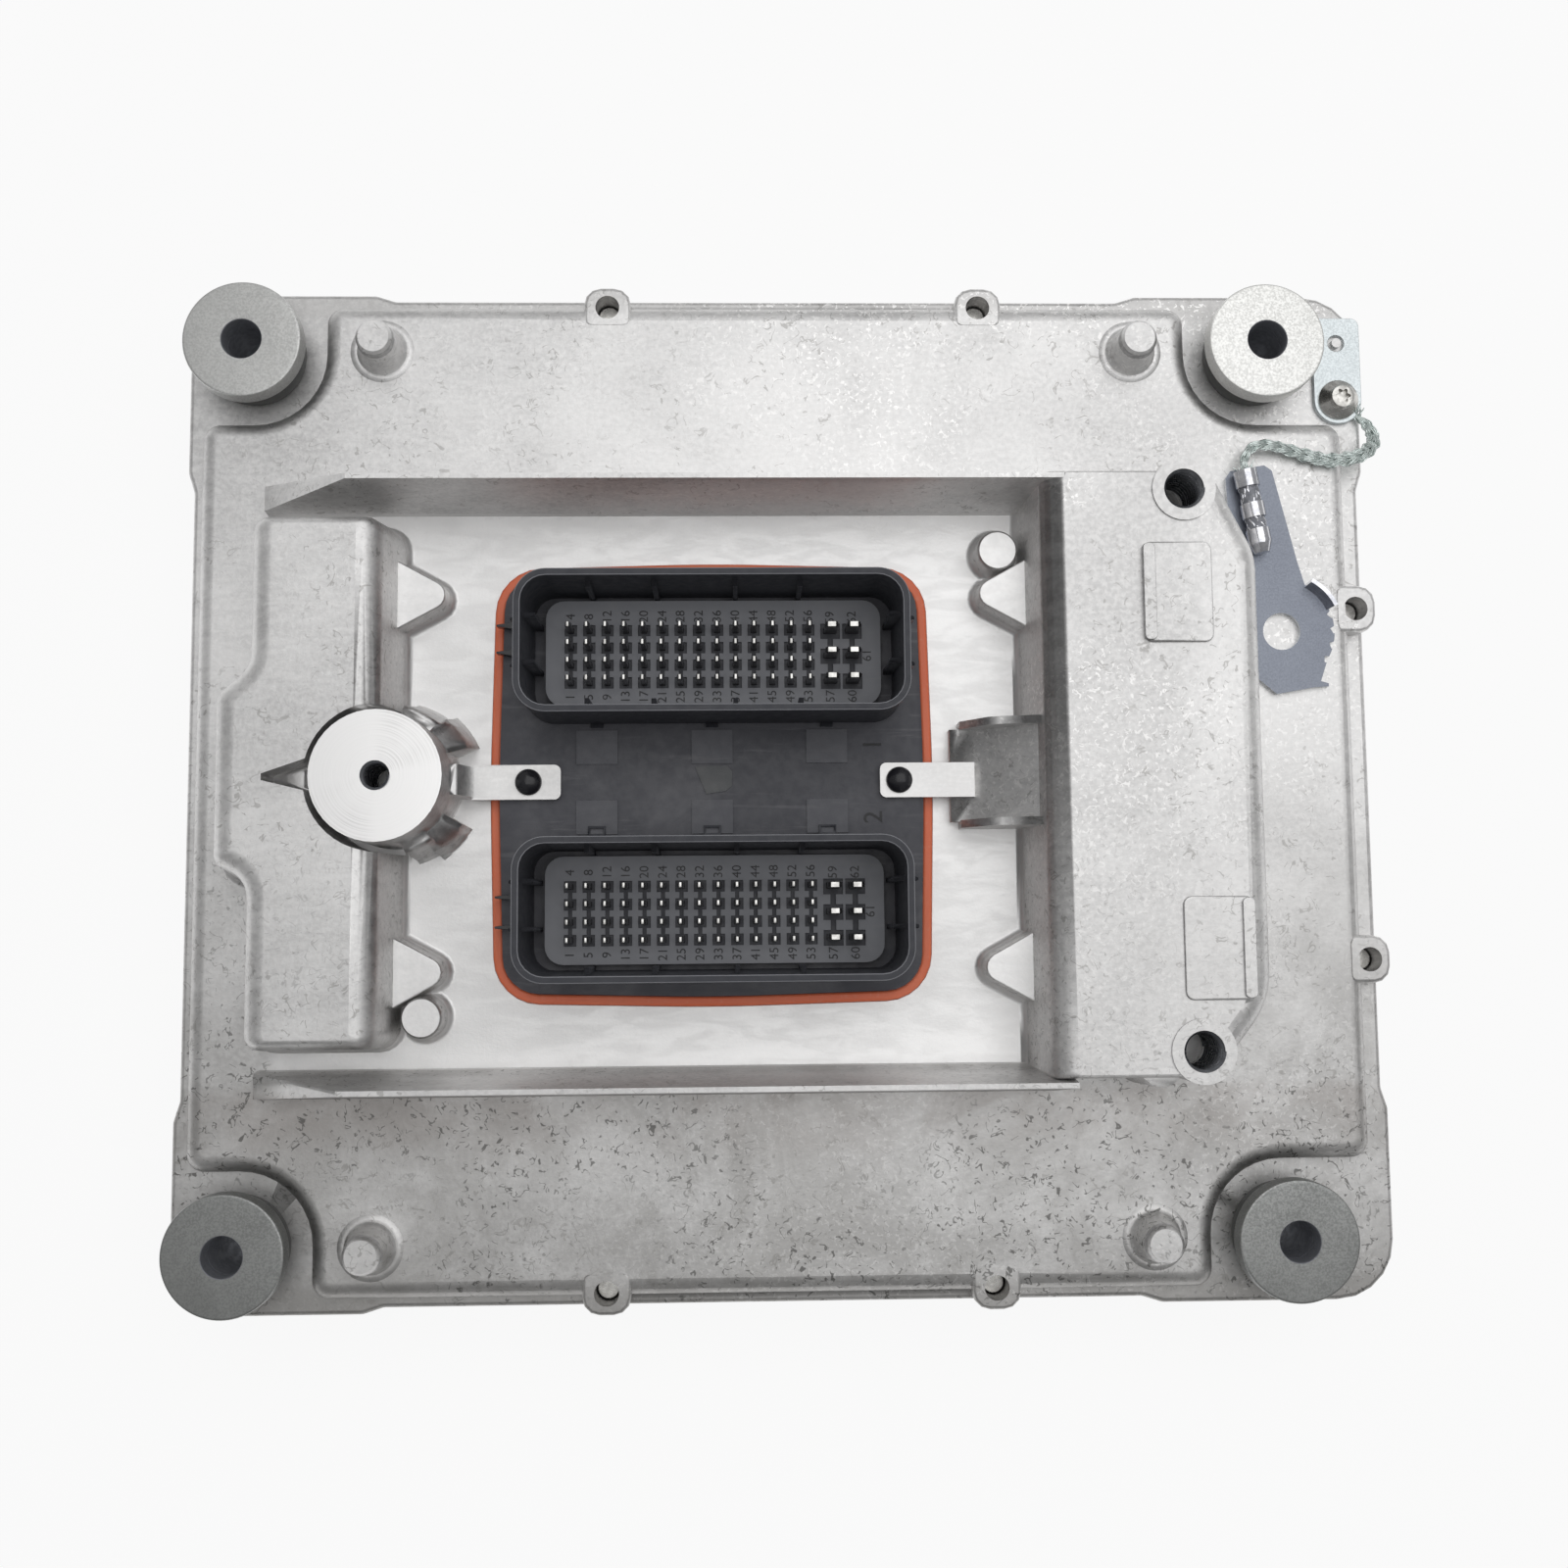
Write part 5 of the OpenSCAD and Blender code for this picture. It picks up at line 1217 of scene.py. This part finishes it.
    def screw(self) -> None:
        """Adds the pan screw with a conical base and a six-lobed socket."""
        made = Mould()
        loops = [self.loop(made.bm, radius, z, 0.0) for radius, z in self.screw_levels]
        loops += [self.loop(made.bm, radius, z, self.lobe) for radius, z in self.socket_levels]
        for low, high in zip(loops, loops[1:]):
            bmesh.ops.bridge_loops(made.bm, edges=low + high)
        for ends in (loops[0], loops[-1]):
            bmesh.ops.holes_fill(made.bm, edges=ends, sides=0)
        bmesh.ops.recalc_face_normals(made.bm, faces=made.bm.faces)
        made.piece("earth_screw_lobed", [Finish.SCREW], 35.0, ["earth_screw"])

    def loop(self, bm: bmesh.types.BMesh, radius: float, z: float, lobe: float) -> list[bmesh.types.BMEdge]:
        """Adds a level loop round the screw's axis.

        Args:
            bm: the mesh.
            radius: radius in millimetres.
            z: level in millimetres.
            lobe: depth of six lobes, as a share of the radius.
        Returns:
            Edges of the loop.
        """
        made = bmesh.ops.create_circle(bm, cap_ends=False, segments=48, radius=radius * MM)["verts"]
        for vert in made:
            vert.co.xy *= 1.0 + lobe * math.cos(6 * math.atan2(vert.co.y, vert.co.x))
        bmesh.ops.translate(bm, verts=made, vec=Vector((*self.tab, z)) * MM)
        return list({e for v in made for e in v.link_edges if e.other_vert(v) in made})

    def build(self) -> None:
        """Builds the tab, the screw, the terminal and the braid."""
        Mould.dress("earth_plate", Finish.ZINC, 0.15)
        self.screw()
        self.ring()
        self.braid()


@dataclass
class Inside:
    """The cover behind and what it closes in."""

    soft_edges: tuple[tuple[str, Finish, float], ...] = (
        ("rear_cover", Finish.COVER, 0.3), ("cover_gasket", Finish.SEAL, 0.0), ("cover_screws", Finish.SCREW, 0.3),
        ("circuit_board", Finish.BOARD, 0.0), ("board_screws", Finish.SCREW, 0.2),
        ("microcontroller", Finish.CHIP, 0.2), ("flash_memory", Finish.CHIP, 0.2), ("crystal", Finish.CAN, 0.6),
        ("driver_chips", Finish.CHIP, 0.2), ("thermal_pads", Finish.PAD, 0.2),
        ("voltage_regulators", Finish.CHIP, 0.2), ("storage_capacitors", Finish.CAN, 0.6),
        ("power_inductors", Finish.FERRITE, 0.6), ("air_pressure_sensor", Finish.CAN, 0.5),
        ("ceramic_capacitors", Finish.CERAMIC, 0.1))

    def build(self) -> None:
        """Dresses each hidden node."""
        for node, finish, width in self.soft_edges:
            Mould.dress(node, finish, width)


@dataclass
class Studio:
    """Floor, soft light and the camera at the photograph's angle."""

    eye: Triple = (-0.00496, -0.03154, 0.38698)
    tilt: Triple = (0.0896, -0.0269, -0.0090)
    lens: float = 37.14
    sensor: float = 36.0
    clip: Pair = (0.01, 20.0)
    floor_half: float = 9.0
    paper: Triple = (0.92, 0.92, 0.92)
    glow: float = 0.9
    sky: Pair = (0.22, 0.41)
    sky_span: Pair = (-0.7, 0.5)
    lamp: Triple = (0.38, 0.5, 1.5)
    lamp_size: float = 1.7
    lamp_watts: float = 10.0

    def camera(self) -> None:
        """Sets the camera."""
        data = bpy.data.cameras.new("camera")
        data.lens, data.sensor_width, data.sensor_fit = self.lens, self.sensor, "HORIZONTAL"
        data.clip_start, data.clip_end = self.clip
        made = bpy.data.objects.new("camera", data)
        made.location = self.eye
        made.rotation_euler = Euler(self.tilt, "XYZ")
        bpy.context.scene.collection.objects.link(made)
        bpy.context.scene.camera = made

    def floor(self) -> None:
        """Lays the pale floor, which keeps a faint shadow."""
        bm = bmesh.new()
        bmesh.ops.create_grid(bm, x_segments=1, y_segments=1, size=self.floor_half)
        mesh = bpy.data.meshes.new("floor")
        bm.to_mesh(mesh)
        bm.free()
        made = bpy.data.objects.new("floor", mesh)
        bpy.context.scene.collection.objects.link(made)
        g = Graph("floor")
        rays = g.node("ShaderNodeLightPath").outputs
        seen = g.sum("MAXIMUM", rays["Is Camera Ray"], rays["Is Glossy Ray"])
        share = g.mul(g.sum("MAXIMUM", seen, rays["Is Transmission Ray"]), self.glow)
        paper = g.node("ShaderNodeBsdfDiffuse", {"Color": self.paper}).outputs[0]
        white = g.node("ShaderNodeEmission", {"Strength": 1.0}).outputs[0]
        mix = g.node("ShaderNodeMixShader", {"Fac": share, 1: paper, 2: white}).outputs[0]
        g.feed(g.tree.nodes["Material Output"].inputs["Surface"], mix)
        mesh.materials.append(g.material)

    def light(self) -> None:
        """Sets the sky, paler behind the unit than before it, and the soft lamp."""
        world = bpy.data.worlds.new("studio")
        world.use_nodes = True
        tree = world.node_tree
        back = tree.nodes["Background"]
        back.inputs["Color"].default_value = (1.0, 1.0, 1.0, 1.0)
        place, split, grade = (tree.nodes.new(f"ShaderNode{kind}") for kind in ("TexCoord", "SeparateXYZ", "MapRange"))
        for key, value in zip(("From Min", "From Max", "To Min", "To Max"), (*self.sky_span, *self.sky)):
            grade.inputs[key].default_value = value
        tree.links.new(place.outputs["Generated"], split.inputs[0])
        tree.links.new(split.outputs["Y"], grade.inputs["Value"])
        tree.links.new(grade.outputs["Result"], back.inputs["Strength"])
        bpy.context.scene.world = world
        data = bpy.data.lights.new("top_lamp", "AREA")
        data.shape, data.size, data.energy = "SQUARE", self.lamp_size, self.lamp_watts
        made = bpy.data.objects.new("top_lamp", data)
        made.location = self.lamp
        bpy.context.scene.collection.objects.link(made)

    def build(self) -> None:
        """Sets the view, the floor and the light."""
        bpy.context.scene.view_settings.view_transform = "Standard"
        self.camera()
        self.floor()
        self.light()


def main() -> None:
    """Builds the unit and its studio."""
    logging.basicConfig(level=logging.INFO, format="%(name)s %(message)s")
    steps: list[tuple[str, Callable[[], None]]] = [
        ("studio", Studio().build), ("earth lead", EarthLead().build), ("housing", Housing().build),
        ("bushes", Bushes().build), ("header", Header().build), ("inside", Inside().build)]
    for name, step in steps:
        step()
        LOG.info("%s built", name)


if __name__ == "__main__":
    main()
